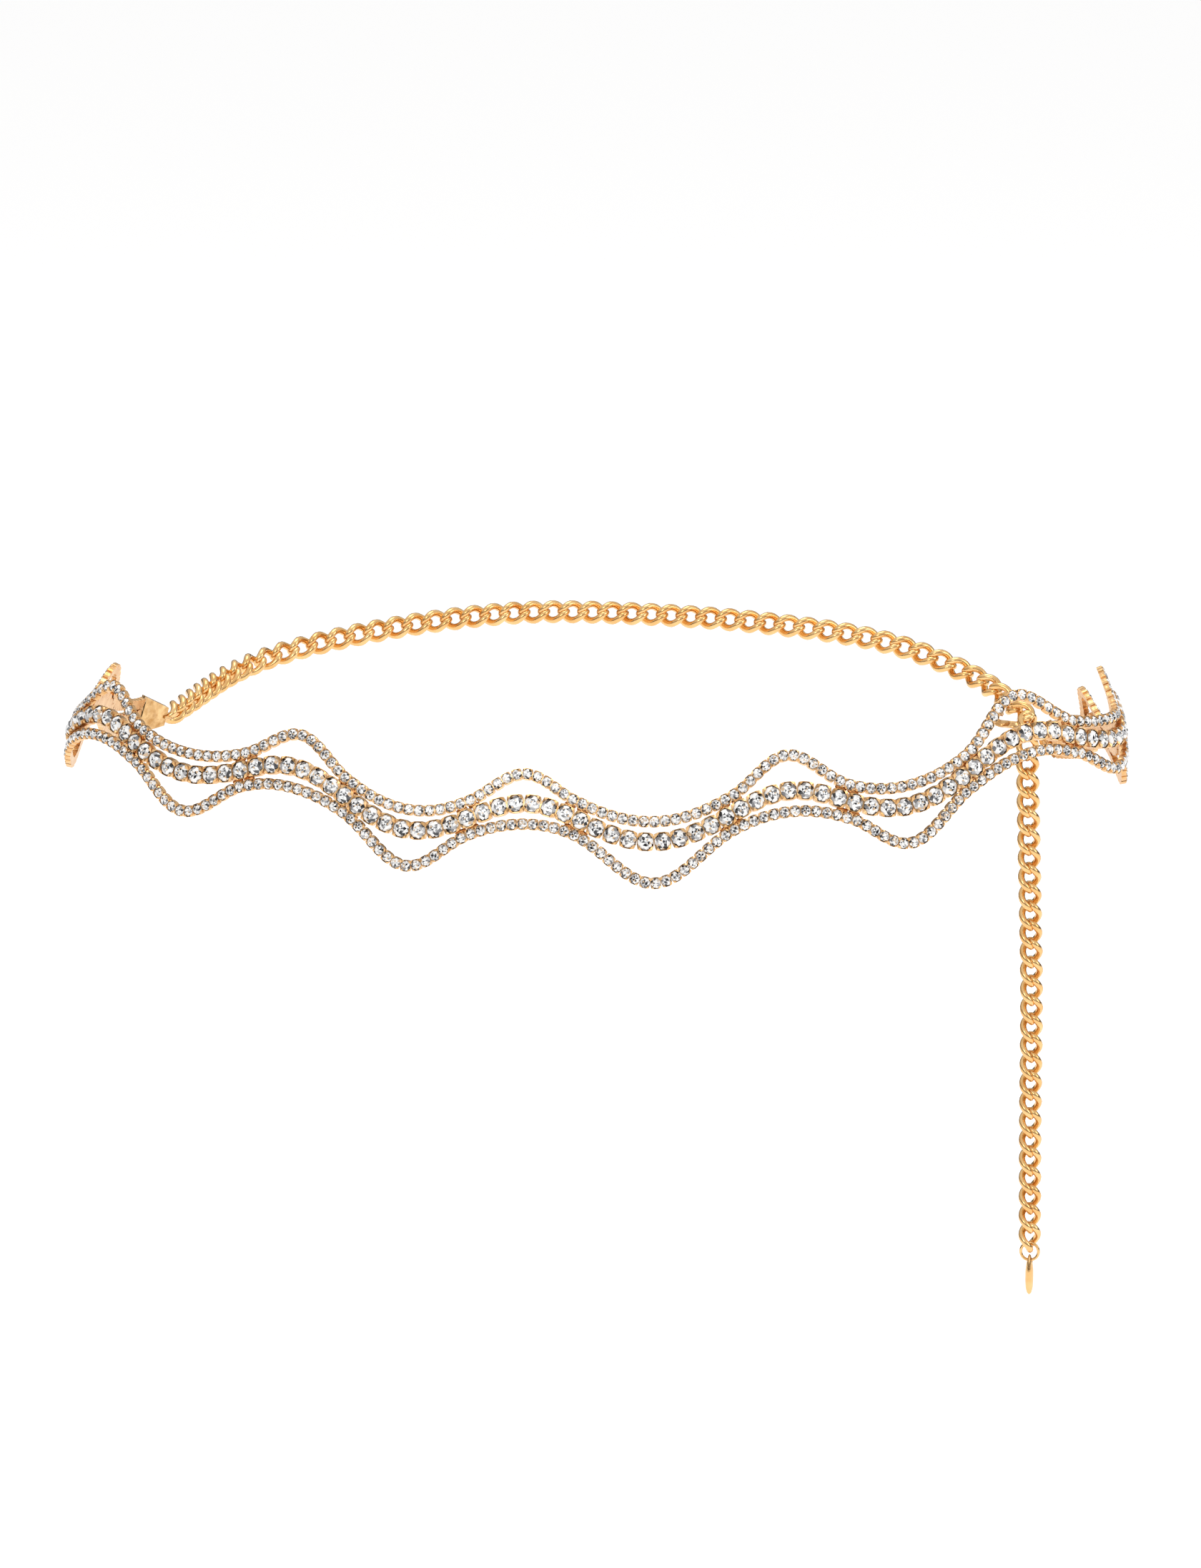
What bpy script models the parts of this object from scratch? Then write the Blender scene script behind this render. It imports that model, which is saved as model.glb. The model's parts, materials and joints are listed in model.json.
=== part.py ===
"""Body chain: three wavy strands of set stones across the front, a curb chain round the back
and a hook that catches it, with the spare chain hanging as a tail. Metres, +Z up, the front at -Y."""

import math

import bmesh
import bpy
import numpy as np
from mathutils import Matrix, Vector

# The waist outline that the belt follows, seen from above.
HALF_WIDTH = 0.1412
FRONT_DEPTH = 0.065
BACK_DEPTH = 0.188
FRONT_ROUNDNESS = 1.9
BACK_ROUNDNESS = 3.0
LEAN_ABOVE = math.radians(24)
LEAN_BELOW = math.radians(9)
FRONT_MIDDLE = 0.0195

# Stones, their settings and the waves of the three strands.
LARGE_SETTING = 0.0045
SMALL_SETTING = 0.0028
SETTING_DEPTH = 0.0022
CROWN_HEIGHT = 0.0008
TABLE_SHARE = 0.56
STONE_SIDES = 8
WAVE_LENGTH = 0.034
MIDDLE_SWING = 0.0050
ARCH_LIFT = 0.0044
LOOP_DROP = 0.0060
HUG_GAP = 0.0012
LIE_HEIGHT = 0.010
FREE_SHARES = (0.0, 0.25, 0.42, 0.58, 0.75)
HUG_SHARES = (0.0, 0.27, 0.5, 0.73)

# Chain, tail, plates, hook, jump ring and drop.
LINK_PITCH = 0.00567
LINK_WIDTH = 0.0069
BACK_TUBE_SHARE = 0.91
TAIL_TURN = math.radians(28)
LINK_WIRE = 0.0018
LINK_TWIST = math.radians(-57)
LINK_SIDES = 10
BACK_POINTS = 28
WIRE_SIDES = 5
LINK_BITE = 0.0007
TAIL_LINKS = 27
LEFT_PLATE_LENGTH = 0.009
RIGHT_PLATE_LENGTH = 0.0078
PLATE_THICKNESS = 0.0024
PLATE_END_HEIGHT = 0.0052
LEFT_TURN = math.radians(-35)
LOOP_DIAMETER = 0.0042
LOOP_WIRE = 0.0010
HOOK_LENGTH = 0.0145
HOOK_WIDTH = 0.0020
HOOK_THICKNESS = 0.0008
HOOK_CURL = 0.0016
HOOK_TURN = math.radians(38)
HOOK_ROLL = math.radians(46)
SEAT_SHARE = 0.64
JUMP_RING_DIAMETER = 0.0061
JUMP_RING_WIRE = 0.0009
RING_TURN = math.radians(-6)
DROP_LENGTH = 0.0124
DROP_WIDTH = 0.0050
DROP_THICKNESS = 0.0024
DROP_HOLE = 0.0016
DROP_RIM = 0.0010
CLEARANCE = 0.0003

# One row for each wave from the left end to the right. kind: the strand that swings free.
# length: share of WAVE_LENGTH. swing: share of MIDDLE_SWING. free: share of ARCH_LIFT or LOOP_DROP.
# start_height: how high the worn belt lies at the wave's start, share of LIE_HEIGHT, as is the
# right end's own share below the table.
WAVES = (
    {"kind": "loop", "length": 1.00, "swing": 0.35, "free": 0.20, "start_height": -0.95},
    {"kind": "arch", "length": 0.91, "swing": 0.90, "free": 1.00, "start_height": -0.30},
    {"kind": "loop", "length": 1.00, "swing": 1.00, "free": 0.62, "start_height": 0.45},
    {"kind": "arch", "length": 0.91, "swing": 0.90, "free": 0.85, "start_height": 0.80},
    {"kind": "loop", "length": 1.04, "swing": 0.90, "free": 1.00, "start_height": 0.80},
    {"kind": "arch", "length": 0.865, "swing": 0.80, "free": 0.95, "start_height": 0.45},
    {"kind": "loop", "length": 0.96, "swing": 1.00, "free": 0.90, "start_height": -0.07},
    {"kind": "arch", "length": 0.845, "swing": 0.82, "free": 0.75, "start_height": -0.47},
    {"kind": "loop", "length": 1.195, "swing": 1.24, "free": 1.12, "start_height": -0.40},
    {"kind": "arch", "length": 0.91, "swing": 0.90, "free": 1.10, "start_height": -0.29},
    {"kind": "loop", "length": 0.99, "swing": 0.90, "free": 0.95, "start_height": -0.04},
    {"kind": "arch", "length": 0.98, "swing": 0.95, "free": 1.30, "start_height": 0.54},
    {"kind": "loop", "length": 1.00, "swing": 0.62, "free": 0.66, "start_height": 1.14},
    {"kind": "arch", "length": 0.91, "swing": 0.90, "free": 0.85, "start_height": 1.00},
    {"kind": "loop", "length": 0.97, "swing": 1.00, "free": 0.90, "start_height": 0.45},
    {"kind": "arch", "length": 0.88, "swing": 0.90, "free": 1.00, "start_height": -0.80},
    {"kind": "loop", "length": 0.94, "swing": 0.15, "free": 0.05, "start_height": -1.30},
)
RIGHT_END_SHARE = -2.11

# The back chain's few chosen points between the left plate and the hook, seen from above: sideways
# as a share of HALF_WIDTH, forth from the widest place as a share of BACK_DEPTH, and how high the
# chain lies there as a share of LIE_HEIGHT. It cuts the corners of the outline a little.
BACK_ROUTE = (
    {"sideways": -0.765, "forth": 0.7686, "height": -0.45},
    {"sideways": -0.531, "forth": 0.8537, "height": 0.20},
    {"sideways": -0.248, "forth": 0.8910, "height": 0.66},
    {"sideways": 0.000, "forth": 0.9016, "height": 0.65},
    {"sideways": 0.283, "forth": 0.8963, "height": 0.42},
    {"sideways": 0.531, "forth": 0.8777, "height": -0.04},
    {"sideways": 0.708, "forth": 0.8431, "height": -0.87},
)

# The tail's few chosen points below the hook, as shares of the spare links' whole length.
TAIL_ROUTE = (
    {"sideways": 0.0, "backwards": 0.0, "down": 0.0},
    {"sideways": 0.0066, "backwards": 0.0131, "down": 0.230},
    {"sideways": 0.0143, "backwards": 0.0263, "down": 0.493},
    {"sideways": 0.0151, "backwards": 0.0230, "down": 0.755},
    {"sideways": 0.0175, "backwards": 0.0066, "down": 1.051},
)

# The drop's outline: how far down its length, and the shares of its width and thickness there.
DROP_SHAPE = (
    (0.05, 0.52, 0.36),
    (0.20, 0.80, 0.74),
    (0.40, 1.00, 0.98),
    (0.62, 0.94, 1.00),
    (0.82, 0.72, 0.90),
    (0.95, 0.40, 0.55),
)

GOLD = (0.83, 0.55, 0.24)
PALE_GOLD = (0.86, 0.60, 0.32)
CRYSTAL = (0.90, 0.91, 0.93)


def clear_scene():
    for old in list(bpy.data.objects):
        bpy.data.objects.remove(old, do_unlink=True)


def new_collection(name, helper=False):
    made = bpy.data.collections.new(name)
    made.hide_render = helper
    bpy.context.scene.collection.children.link(made)
    return made


def metal(name, colour, roughness, metallic=1.0):
    made = bpy.data.materials.new(name)
    made.use_nodes = True
    shader = made.node_tree.nodes["Principled BSDF"]
    shader.inputs["Base Color"].default_value = (*colour, 1.0)
    shader.inputs["Roughness"].default_value = roughness
    shader.inputs["Metallic"].default_value = metallic
    return made


def outline_samples(count=7200):
    """Points of the waist outline from the front middle towards +X, and how far round each lies."""
    points = []
    for turn in np.linspace(-math.pi / 2, 1.5 * math.pi, count):
        side, forth = math.cos(turn), math.sin(turn)
        depth = FRONT_DEPTH if forth < 0 else BACK_DEPTH
        power = FRONT_ROUNDNESS if forth < 0 else BACK_ROUNDNESS
        reach = (abs(side / HALF_WIDTH) ** power + abs(forth / depth) ** power) ** (-1 / power)
        points.append((reach * side, WIDEST_AT + reach * forth))
    points = np.array(points)
    steps = np.linalg.norm(np.diff(points, axis=0), axis=1)
    return points, np.concatenate([[0.0], np.cumsum(steps)])


WIDEST_AT = FRONT_DEPTH - (FRONT_DEPTH + BACK_DEPTH) / 2
OUTLINE, WAY_ROUND = outline_samples()
GIRTH = WAY_ROUND[-1]


def on_outline(way):
    """The outline's point this far round from the front middle, and the direction out of the waist."""
    way = way % GIRTH
    step = 0.0002
    here = [np.interp(way, WAY_ROUND, OUTLINE[:, axis]) for axis in (0, 1)]
    after = [np.interp((way + step) % GIRTH, WAY_ROUND, OUTLINE[:, axis]) for axis in (0, 1)]
    before = [np.interp((way - step) % GIRTH, WAY_ROUND, OUTLINE[:, axis]) for axis in (0, 1)]
    along = Vector((after[0] - before[0], after[1] - before[1], 0.0)).normalized()
    return Vector((here[0], here[1], 0.0)), Vector((along.y, -along.x, 0.0))


def wave_starts():
    lengths = [row["length"] * WAVE_LENGTH for row in WAVES]
    middle = len(WAVES) // 2
    first = FRONT_MIDDLE - sum(lengths[:middle]) - lengths[middle] / 2
    return [first + sum(lengths[:index]) for index in range(len(WAVES) + 1)]


STARTS = wave_starts()
NODE_HEIGHTS = [row["start_height"] * LIE_HEIGHT for row in WAVES] + [RIGHT_END_SHARE * LIE_HEIGHT]
STRAND_SPACING = (LARGE_SETTING + SMALL_SETTING) / 2 + CLEARANCE


def smooth_between(places, values, place):
    """A smooth curve through the values, read at one place."""
    index = min(max(int(np.searchsorted(places, place)) - 1, 0), len(places) - 2)
    span = places[index + 1] - places[index]
    share = min(max((place - places[index]) / span, 0.0), 1.0)

    def slope(at):
        low, high = max(at - 1, 0), min(at + 1, len(places) - 1)
        return (values[high] - values[low]) / (places[high] - places[low]) * span

    rise = values[index + 1] - values[index]
    start, end = slope(index), slope(index + 1)
    bend = share * share
    cube = bend * share
    return (
        values[index]
        + start * share
        + (3 * rise - 2 * start - end) * bend
        + (start + end - 2 * rise) * cube
    )


def wave_at(way):
    index = min(max(int(np.searchsorted(STARTS, way, side="right")) - 1, 0), len(WAVES) - 1)
    share = (way - STARTS[index]) / (STARTS[index + 1] - STARTS[index])
    return WAVES[index], STARTS[index + 1] - STARTS[index], min(max(share, 0.0), 1.0)


def strand_height(strand, way):
    """Height of the upper, middle or lower strand this far round the waist."""
    row, length, share = wave_at(way)
    up = 1.0 if row["kind"] == "arch" else -1.0
    swing = up * MIDDLE_SWING * row["swing"]
    middle = smooth_between(STARTS, NODE_HEIGHTS, way) + swing * math.sin(math.pi * share)
    if strand == "middle":
        return middle
    steepness = math.hypot(1.0, math.pi * swing / length * math.cos(math.pi * share))
    free = (1.0 - math.cos(2 * math.pi * share)) / 2
    if strand == "upper":
        lift = ARCH_LIFT * row["free"] if row["kind"] == "arch" else HUG_GAP
        return middle + STRAND_SPACING * steepness + lift * free
    drop = LOOP_DROP * row["free"] if row["kind"] == "loop" else HUG_GAP
    return middle - STRAND_SPACING * steepness - drop * free


def lean_offset(rise):
    """How far out of the outline a point lies that is this much higher than the belt's line."""
    inward, outward = math.tan(LEAN_ABOVE), math.tan(LEAN_BELOW)
    soft = LARGE_SETTING
    return -(inward + outward) / 2 * rise - (inward - outward) / 2 * (math.hypot(rise, soft) - soft)


def placed(way, height):
    """World point this far round at this height, on the leaning sheet that the belt lies in."""
    point, outward = on_outline(way)
    rise = height - smooth_between(STARTS, NODE_HEIGHTS, way)
    return point + outward * lean_offset(rise) + Vector((0.0, 0.0, height))


def sheet_normal(way, height):
    """Direction out of the leaning sheet."""
    step = 0.0005
    up = (placed(way, height + step) - placed(way, height - step)).normalized()
    along = (placed(way + step, height) - placed(way - step, height)).normalized()
    return along.cross(up)


def strand_point(strand, way):
    return placed(way, strand_height(strand, way))


def evenly_along(points, count):
    """Shares of the path at equal steps, as indexes between the given dense points."""
    steps = np.linalg.norm(np.diff(points, axis=0), axis=1)
    lengths = np.concatenate([[0.0], np.cumsum(steps)])
    return np.linspace(0.0, lengths[-1], count), lengths


def strand_frames(strand, setting):
    """Where each setting of a strand sits: its middle, and the directions along, out and up."""
    ways = np.linspace(STARTS[0], STARTS[-1], 4001)
    dense = np.array([strand_point(strand, way) for way in ways])
    _, lengths = evenly_along(dense, 2)
    count = round(lengths[-1] / setting)
    frames = []
    for index in range(2 * count + 1):
        way = float(np.interp(lengths[-1] * index / (2 * count), lengths, ways))
        step = 0.0003
        low, high = max(way - step, STARTS[0]), min(way + step, STARTS[-1])
        along = (strand_point(strand, high) - strand_point(strand, low)).normalized()
        out = sheet_normal(way, strand_height(strand, way))
        up = out.cross(along).normalized()
        frames.append((strand_point(strand, way), along, along.cross(up), up))
    return frames


def link_object(collection, name, bm, material):
    mesh = bpy.data.meshes.new(name)
    bmesh.ops.recalc_face_normals(bm, faces=bm.faces)
    bm.to_mesh(mesh)
    bm.free()
    made = bpy.data.objects.new(name, mesh)
    made.data.materials.append(material)
    collection.objects.link(made)
    return made


def stone_strand(collection, name, strand, setting, material):
    """A row of eight-sided settings, each with its cut stone: a table and a ring of crown facets."""
    frames = strand_frames(strand, setting)
    flat = setting / 2 * math.tan(math.pi / STONE_SIDES)
    rim, back = SETTING_DEPTH / 2, -SETTING_DEPTH / 2
    bm = bmesh.new()

    def corner(centre, out, up, height, level):
        return bm.verts.new(centre + up * height + out * level)

    def shared_edge(frame):
        centre, _, out, up = frame
        return {(h, v): corner(centre, out, up, h * flat, v) for h in (1, -1) for v in (rim, back)}

    edges = [shared_edge(frames[index]) for index in range(0, len(frames), 2)]
    for index in range(1, len(frames), 2):
        centre, along, out, up = frames[index]
        left, right = edges[index // 2], edges[index // 2 + 1]

        def shoulder(side, height, level):
            return corner(centre + along * (side * flat), out, up, height * setting / 2, level)

        rings = {}
        for level in (rim, back):
            rings[level] = [
                right[(1, level)], shoulder(1, 1, level), shoulder(-1, 1, level), left[(1, level)],
                left[(-1, level)], shoulder(-1, -1, level), shoulder(1, -1, level), right[(-1, level)],
            ]
        table = []
        for vertex in rings[rim]:
            flat_place = centre + (vertex.co - centre) * TABLE_SHARE
            drop = (flat_place - centre).dot(out)
            table.append(bm.verts.new(flat_place + out * (rim + CROWN_HEIGHT - drop)))
        bm.faces.new(table)
        bm.faces.new(list(reversed(rings[back])))
        for at in range(STONE_SIDES):
            after = (at + 1) % STONE_SIDES
            bm.faces.new((rings[rim][at], rings[rim][after], table[after], table[at]))
            if at not in (3, 7):
                bm.faces.new((rings[back][at], rings[back][after], rings[rim][after], rings[rim][at]))
    for end in (edges[0], edges[-1]):
        bm.faces.new((end[(1, rim)], end[(-1, rim)], end[(-1, back)], end[(1, back)]))
    return link_object(collection, name, bm, material)


def closed_profile(name, points):
    """A flat closed outline that a wire or ribbon is swept from."""
    data = bpy.data.curves.new(name, "CURVE")
    data.dimensions = "2D"
    spline = data.splines.new("POLY")
    spline.points.add(len(points) - 1)
    for spot, (across, up) in zip(spline.points, points):
        spot.co = (across, up, 0.0, 1.0)
    spline.use_cyclic_u = True
    made = bpy.data.objects.new(name, data)
    made.hide_render = True
    made.display_type = "WIRE"
    HELPERS.objects.link(made)
    return made


def round_profile(name, diameter, sides):
    turns = [2 * math.pi * index / sides for index in range(sides)]
    return closed_profile(name, [(diameter / 2 * math.cos(t), diameter / 2 * math.sin(t)) for t in turns])


def swept(name, paths, profile, cyclic):
    """A mesh object of the profile swept along each path, its caps welded."""
    data = bpy.data.curves.new(name, "CURVE")
    data.dimensions = "3D"
    data.bevel_mode = "OBJECT"
    data.bevel_object = profile
    data.use_fill_caps = True
    for path in paths:
        spline = data.splines.new("POLY")
        spline.points.add(len(path) - 1)
        for spot, place in zip(spline.points, path):
            spot.co = (*place, 1.0)
        spline.use_cyclic_u = cyclic
    guide = bpy.data.objects.new(name + "_guide", data)
    HELPERS.objects.link(guide)
    bpy.context.view_layer.update()
    mesh = bpy.data.meshes.new_from_object(guide.evaluated_get(bpy.context.evaluated_depsgraph_get()))
    bpy.data.objects.remove(guide, do_unlink=True)
    bm = bmesh.new()
    bm.from_mesh(mesh)
    bpy.data.meshes.remove(mesh)
    bmesh.ops.remove_doubles(bm, verts=bm.verts, dist=1e-6)
    return bm


def joined(base, other):
    """Leaves base with a Boolean union of other, which stays as a hidden helper."""
    other.hide_render = True
    other.display_type = "WIRE"
    union = base.modifiers.new("soldered " + other.name, "BOOLEAN")
    union.operation = "UNION"
    union.solver = "EXACT"
    union.object = other
    return base


def link_wire(centre, along, across, out, pitch):
    """Points round one curb link's wire: an oval whose two ends are twisted opposite ways."""
    half_length = (pitch - LINK_BITE + LINK_WIRE) / 2
    half_width = (LINK_WIDTH - LINK_WIRE) / 2
    first_turn = math.pi / LINK_SIDES
    points = []
    for index in range(LINK_SIDES):
        turn = first_turn + 2 * math.pi * index / LINK_SIDES
        forth = math.cos(turn) / math.cos(first_turn)
        twist = LINK_TWIST * forth
        side = half_width * math.sin(turn)
        place = centre + along * (half_length * forth)
        points.append(place + across * (side * math.cos(twist)) + out * (side * math.sin(twist)))
    return points


def chain(collection, name, links, material):
    """Curb links fused where each bears on the next. links: centre, along, across, out and pitch."""
    wire = round_profile(name + "_wire", LINK_WIRE, WIRE_SIDES)
    paths = [link_wire(*link) for link in links]
    odd = link_object(collection, name, swept(name, paths[0::2], wire, True), material)
    even = link_object(HELPERS, name + "_between", swept(name, paths[1::2], wire, True), material)
    return joined(odd, even)


def links_between(joints, faces):
    """One link for each pair of joints, lying flat against the face direction given at each."""
    links = []
    for start, end, face in zip(joints, joints[1:], faces):
        along = (end - start).normalized()
        across = face.cross(along).normalized()
        links.append(((start + end) / 2, along, across, along.cross(across), (end - start).length))
    return links


def tube(collection, name, points, diameter, material):
    """A strand too fine for its stones here: a round tube along the strand."""
    data = bpy.data.curves.new(name, "CURVE")
    data.dimensions = "3D"
    data.bevel_depth = diameter / 2
    data.bevel_resolution = 2
    data.use_fill_caps = True
    spline = data.splines.new("POLY")
    spline.points.add(len(points) - 1)
    for spot, place in zip(spline.points, points):
        spot.co = (*place, 1.0)
    made = bpy.data.objects.new(name, data)
    made.data.materials.append(material)
    collection.objects.link(made)
    return made


def fine_strand(collection, name, strand, free_kind, material):
    """The upper or lower strand, with one more point in the waves where it swings free."""
    ways = []
    for index, row in enumerate(WAVES):
        shares = FREE_SHARES if row["kind"] == free_kind else HUG_SHARES
        ways += [STARTS[index] + (STARTS[index + 1] - STARTS[index]) * share for share in shares]
    ways.append(STARTS[-1])
    return tube(collection, name, [strand_point(strand, way) for way in ways], SMALL_SETTING, material)


def plate_block(name, start, length, sense):
    """An end plate that narrows from the three strands to the chain, bent with the waist."""
    steps = 4
    bm = bmesh.new()
    rings = []
    for step in range(steps + 1):
        share = step / steps
        way = start + sense * length * share
        belt = smooth_between(STARTS, NODE_HEIGHTS, way)
        height = PLATE_START_HEIGHT + (PLATE_END_HEIGHT - PLATE_START_HEIGHT) * share
        top, bottom = placed(way, belt + height / 2), placed(way, belt - height / 2)
        out = sheet_normal(way, belt) * (PLATE_THICKNESS / 2)
        rings.append([bm.verts.new(place) for place in (top + out, top - out, bottom - out, bottom + out)])
    for first, second in zip(rings, rings[1:]):
        for at in range(4):
            bm.faces.new((first[at], first[(at + 1) % 4], second[(at + 1) % 4], second[at]))
    bm.faces.new(rings[0])
    bm.faces.new(rings[-1])
    return bm


def strands_end_frame(way, sense):
    """At a plate's end: its middle, and the directions away from the plate, out and up."""
    belt = smooth_between(STARTS, NODE_HEIGHTS, way)
    centre = placed(way, belt)
    away = (placed(way + sense * 0.0005, belt) - centre).normalized()
    out = sheet_normal(way, belt)
    return centre, away, out, Vector((0.0, 0.0, 1.0))


LEFT_PLATE_START = STARTS[0] - CLEARANCE - SETTING_DEPTH / 2
LEFT_PLATE_END = LEFT_PLATE_START - LEFT_PLATE_LENGTH
RIGHT_PLATE_START = STARTS[-1] + CLEARANCE + SETTING_DEPTH / 4
RIGHT_PLATE_END = RIGHT_PLATE_START + RIGHT_PLATE_LENGTH
PLATE_START_HEIGHT = 2 * STRAND_SPACING + SMALL_SETTING


def left_hinge():
    """The left plate's first edge, about which the chain pulls it in: a point on it and the turn."""
    belt, half = smooth_between(STARTS, NODE_HEIGHTS, LEFT_PLATE_START), PLATE_START_HEIGHT / 2
    top, bottom = placed(LEFT_PLATE_START, belt + half), placed(LEFT_PLATE_START, belt - half)
    return (top + bottom) / 2, Matrix.Rotation(LEFT_TURN, 3, top - bottom)


def left_end_frame():
    """At the pulled-in left plate's end: its middle, and the directions away from the plate and out."""
    centre, away, out, _ = strands_end_frame(LEFT_PLATE_END, -1)
    hinge, turn = left_hinge()
    return hinge + turn @ (centre - hinge), turn @ away, turn @ out


def left_plate(collection, material):
    """End plate with the half ring that the back chain's first link hangs in."""
    block = plate_block("left", LEFT_PLATE_START, LEFT_PLATE_LENGTH, -1)
    hinge, turn = left_hinge()
    for vertex in block.verts:
        vertex.co = hinge + turn @ (vertex.co - hinge)
    plate = link_object(collection, "left_end_plate", block, material)
    centre, away, out = left_end_frame()
    radius = (LOOP_DIAMETER - LOOP_WIRE) / 2
    middle = centre + away * LOOP_STANDS_OFF
    path = [centre + out * radius - away * LOOP_WIRE]
    for step in range(7):
        turn = math.pi / 2 - math.pi * step / 6
        path.append(middle + out * (radius * math.sin(turn)) + away * (radius * math.cos(turn)))
    path.append(centre - out * radius - away * LOOP_WIRE)
    ring = swept("chain_loop", [path], round_profile("loop_wire", LOOP_WIRE, 6), False)
    return joined(plate, link_object(HELPERS, "chain_loop", ring, material))


LOOP_STANDS_OFF = LINK_WIRE + 2 * CLEARANCE - (LOOP_DIAMETER / 2 - LOOP_WIRE)


def hook_line():
    """The hook's middle line: straight out of the plate, then curled up and back over itself."""
    centre, away, out, up = strands_end_frame(RIGHT_PLATE_END, 1)
    away = Matrix.Rotation(HOOK_TURN, 3, "Z") @ away
    root = centre + up * (PLATE_END_HEIGHT / 2 - HOOK_THICKNESS)
    straight = HOOK_LENGTH - HOOK_CURL
    points = [root - away * PLATE_THICKNESS / 3, root + away * straight / 2, root + away * straight]
    bend = root + away * straight + up * HOOK_CURL
    for step in range(1, 8):
        turn = math.radians(30) * step
        points.append(bend + away * (HOOK_CURL * math.sin(turn)) - up * (HOOK_CURL * math.cos(turn)))
    return points, up.cross(away).normalized()


def right_plate(collection, material):
    """End plate with the flat hook, rolled to face the front, that a link is dropped over."""
    plate = link_object(
        collection, "right_end_plate", plate_block("right", RIGHT_PLATE_START, RIGHT_PLATE_LENGTH, 1), material
    )
    points, out = hook_line()
    bm = bmesh.new()
    rows = []
    for index, point in enumerate(points):
        before, after = points[max(index - 1, 0)], points[min(index + 1, len(points) - 1)]
        along = (after - before).normalized()
        down = out.cross(along).normalized()
        wide = (out * math.cos(HOOK_ROLL) + down * math.sin(HOOK_ROLL)) * (HOOK_WIDTH / 2)
        face = (down * math.cos(HOOK_ROLL) - out * math.sin(HOOK_ROLL)) * (HOOK_THICKNESS / 2)
        rows.append([bm.verts.new(point + a * wide + b * face) for a, b in ((1, 1), (-1, 1), (-1, -1), (1, -1))])
    for first, second in zip(rows, rows[1:]):
        for at in range(4):
            bm.faces.new((first[at], first[(at + 1) % 4], second[(at + 1) % 4], second[at]))
    bm.faces.new(rows[0])
    bm.faces.new(rows[-1])
    return joined(plate, link_object(HELPERS, "hook", bm, material))


def hook_seat():
    """Where the caught link's opening is centred on the hook, and the hook's direction."""
    points, out = hook_line()
    away = (points[2] - points[1]).normalized()
    return points[0] + away * (PLATE_THICKNESS / 3 + LINK_WIDTH * SEAT_SHARE), away, out


def back_line():
    """Dense points of the back chain's line, from the left plate's loop to above the hook."""
    centre, away, _ = left_end_frame()
    seat, _, _ = hook_seat()
    first = centre + away * (LOOP_DIAMETER / 2 + CLEARANCE + LINK_WIDTH / 2)
    tube_radius = LINK_WIDTH * BACK_TUBE_SHARE / 2
    last = seat + Vector((0.0, 0.0, LINK_PITCH / 2 + LINK_WIRE + CLEARANCE + tube_radius))
    knots = [first]
    for row in BACK_ROUTE:
        forth = WIDEST_AT + row["forth"] * BACK_DEPTH
        knots.append(Vector((row["sideways"] * HALF_WIDTH, forth, row["height"] * LIE_HEIGHT)))
    knots.append(last)
    places = [0.0]
    for before, after in zip(knots, knots[1:]):
        places.append(places[-1] + (after - before).length)
    marks = np.linspace(0.0, places[-1], 601)
    return [[smooth_between(places, [knot[axis] for knot in knots], mark) for axis in range(3)] for mark in marks]


def back_chain(collection, material):
    """The back chain as a round tube, as wide as its leaning links look, along the line that they follow."""
    dense = np.array(back_line())
    marks, lengths = evenly_along(dense, BACK_POINTS)
    points = [[np.interp(mark, lengths, dense[:, axis]) for axis in range(3)] for mark in marks]
    return tube(collection, "back_chain", points, LINK_WIDTH * BACK_TUBE_SHARE, material)


def tail_joints():
    seat, _, _ = hook_seat()
    start = seat - Vector((0.0, 0.0, LINK_PITCH / 2))
    spare = TAIL_LINKS * LINK_PITCH
    drops = [row["down"] * spare for row in TAIL_ROUTE]
    knots = [
        start + Vector((row["sideways"] * spare, row["backwards"] * spare, -drop))
        for row, drop in zip(TAIL_ROUTE, drops)
    ]
    dense = []
    for drop in np.linspace(0.0, drops[-1], 801):
        dense.append([smooth_between(drops, [knot[axis] for knot in knots], drop) for axis in range(3)])
    dense = np.array(dense)
    _, lengths = evenly_along(dense, 2)
    marks = [LINK_PITCH * index for index in range(TAIL_LINKS + 1)]
    return [Vector([np.interp(mark, lengths, dense[:, axis]) for axis in range(3)]) for mark in marks]


def tail_links():
    """The link caught on the hook, edge on to the hook's line, and the spare links below it."""
    seat, away, _ = hook_seat()
    joints = tail_joints()
    top = seat + Vector((0.0, 0.0, LINK_PITCH / 2))
    faces = [away]
    for index in range(TAIL_LINKS):
        faces.append(Matrix.Rotation(TAIL_TURN * index / TAIL_LINKS, 3, "Z") @ Vector((0.0, -1.0, 0.0)))
    return links_between([top] + joints, faces)


def ring_centre():
    end = tail_joints()[-1]
    link_bottom = end.z - (LINK_WIRE - LINK_BITE) / 2
    bearing = link_bottom + LINK_WIRE / 2 + CLEARANCE + JUMP_RING_WIRE
    return Vector((end.x, end.y, bearing - JUMP_RING_DIAMETER / 2))


def jump_ring(collection, material):
    """The small ring in the tail's last link, turned a little so that it passes through it."""
    centre = ring_centre()
    side = Vector((math.cos(RING_TURN), math.sin(RING_TURN), 0.0))
    radius = (JUMP_RING_DIAMETER - JUMP_RING_WIRE) / 2
    turns = [2 * math.pi * step / 16 for step in range(16)]
    path = [centre + side * (radius * math.cos(t)) + Vector((0.0, 0.0, radius * math.sin(t))) for t in turns]
    ring = swept("jump_ring", [path], round_profile("ring_wire", JUMP_RING_WIRE, 6), True)
    return link_object(collection, "jump_ring", ring, material)


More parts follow.
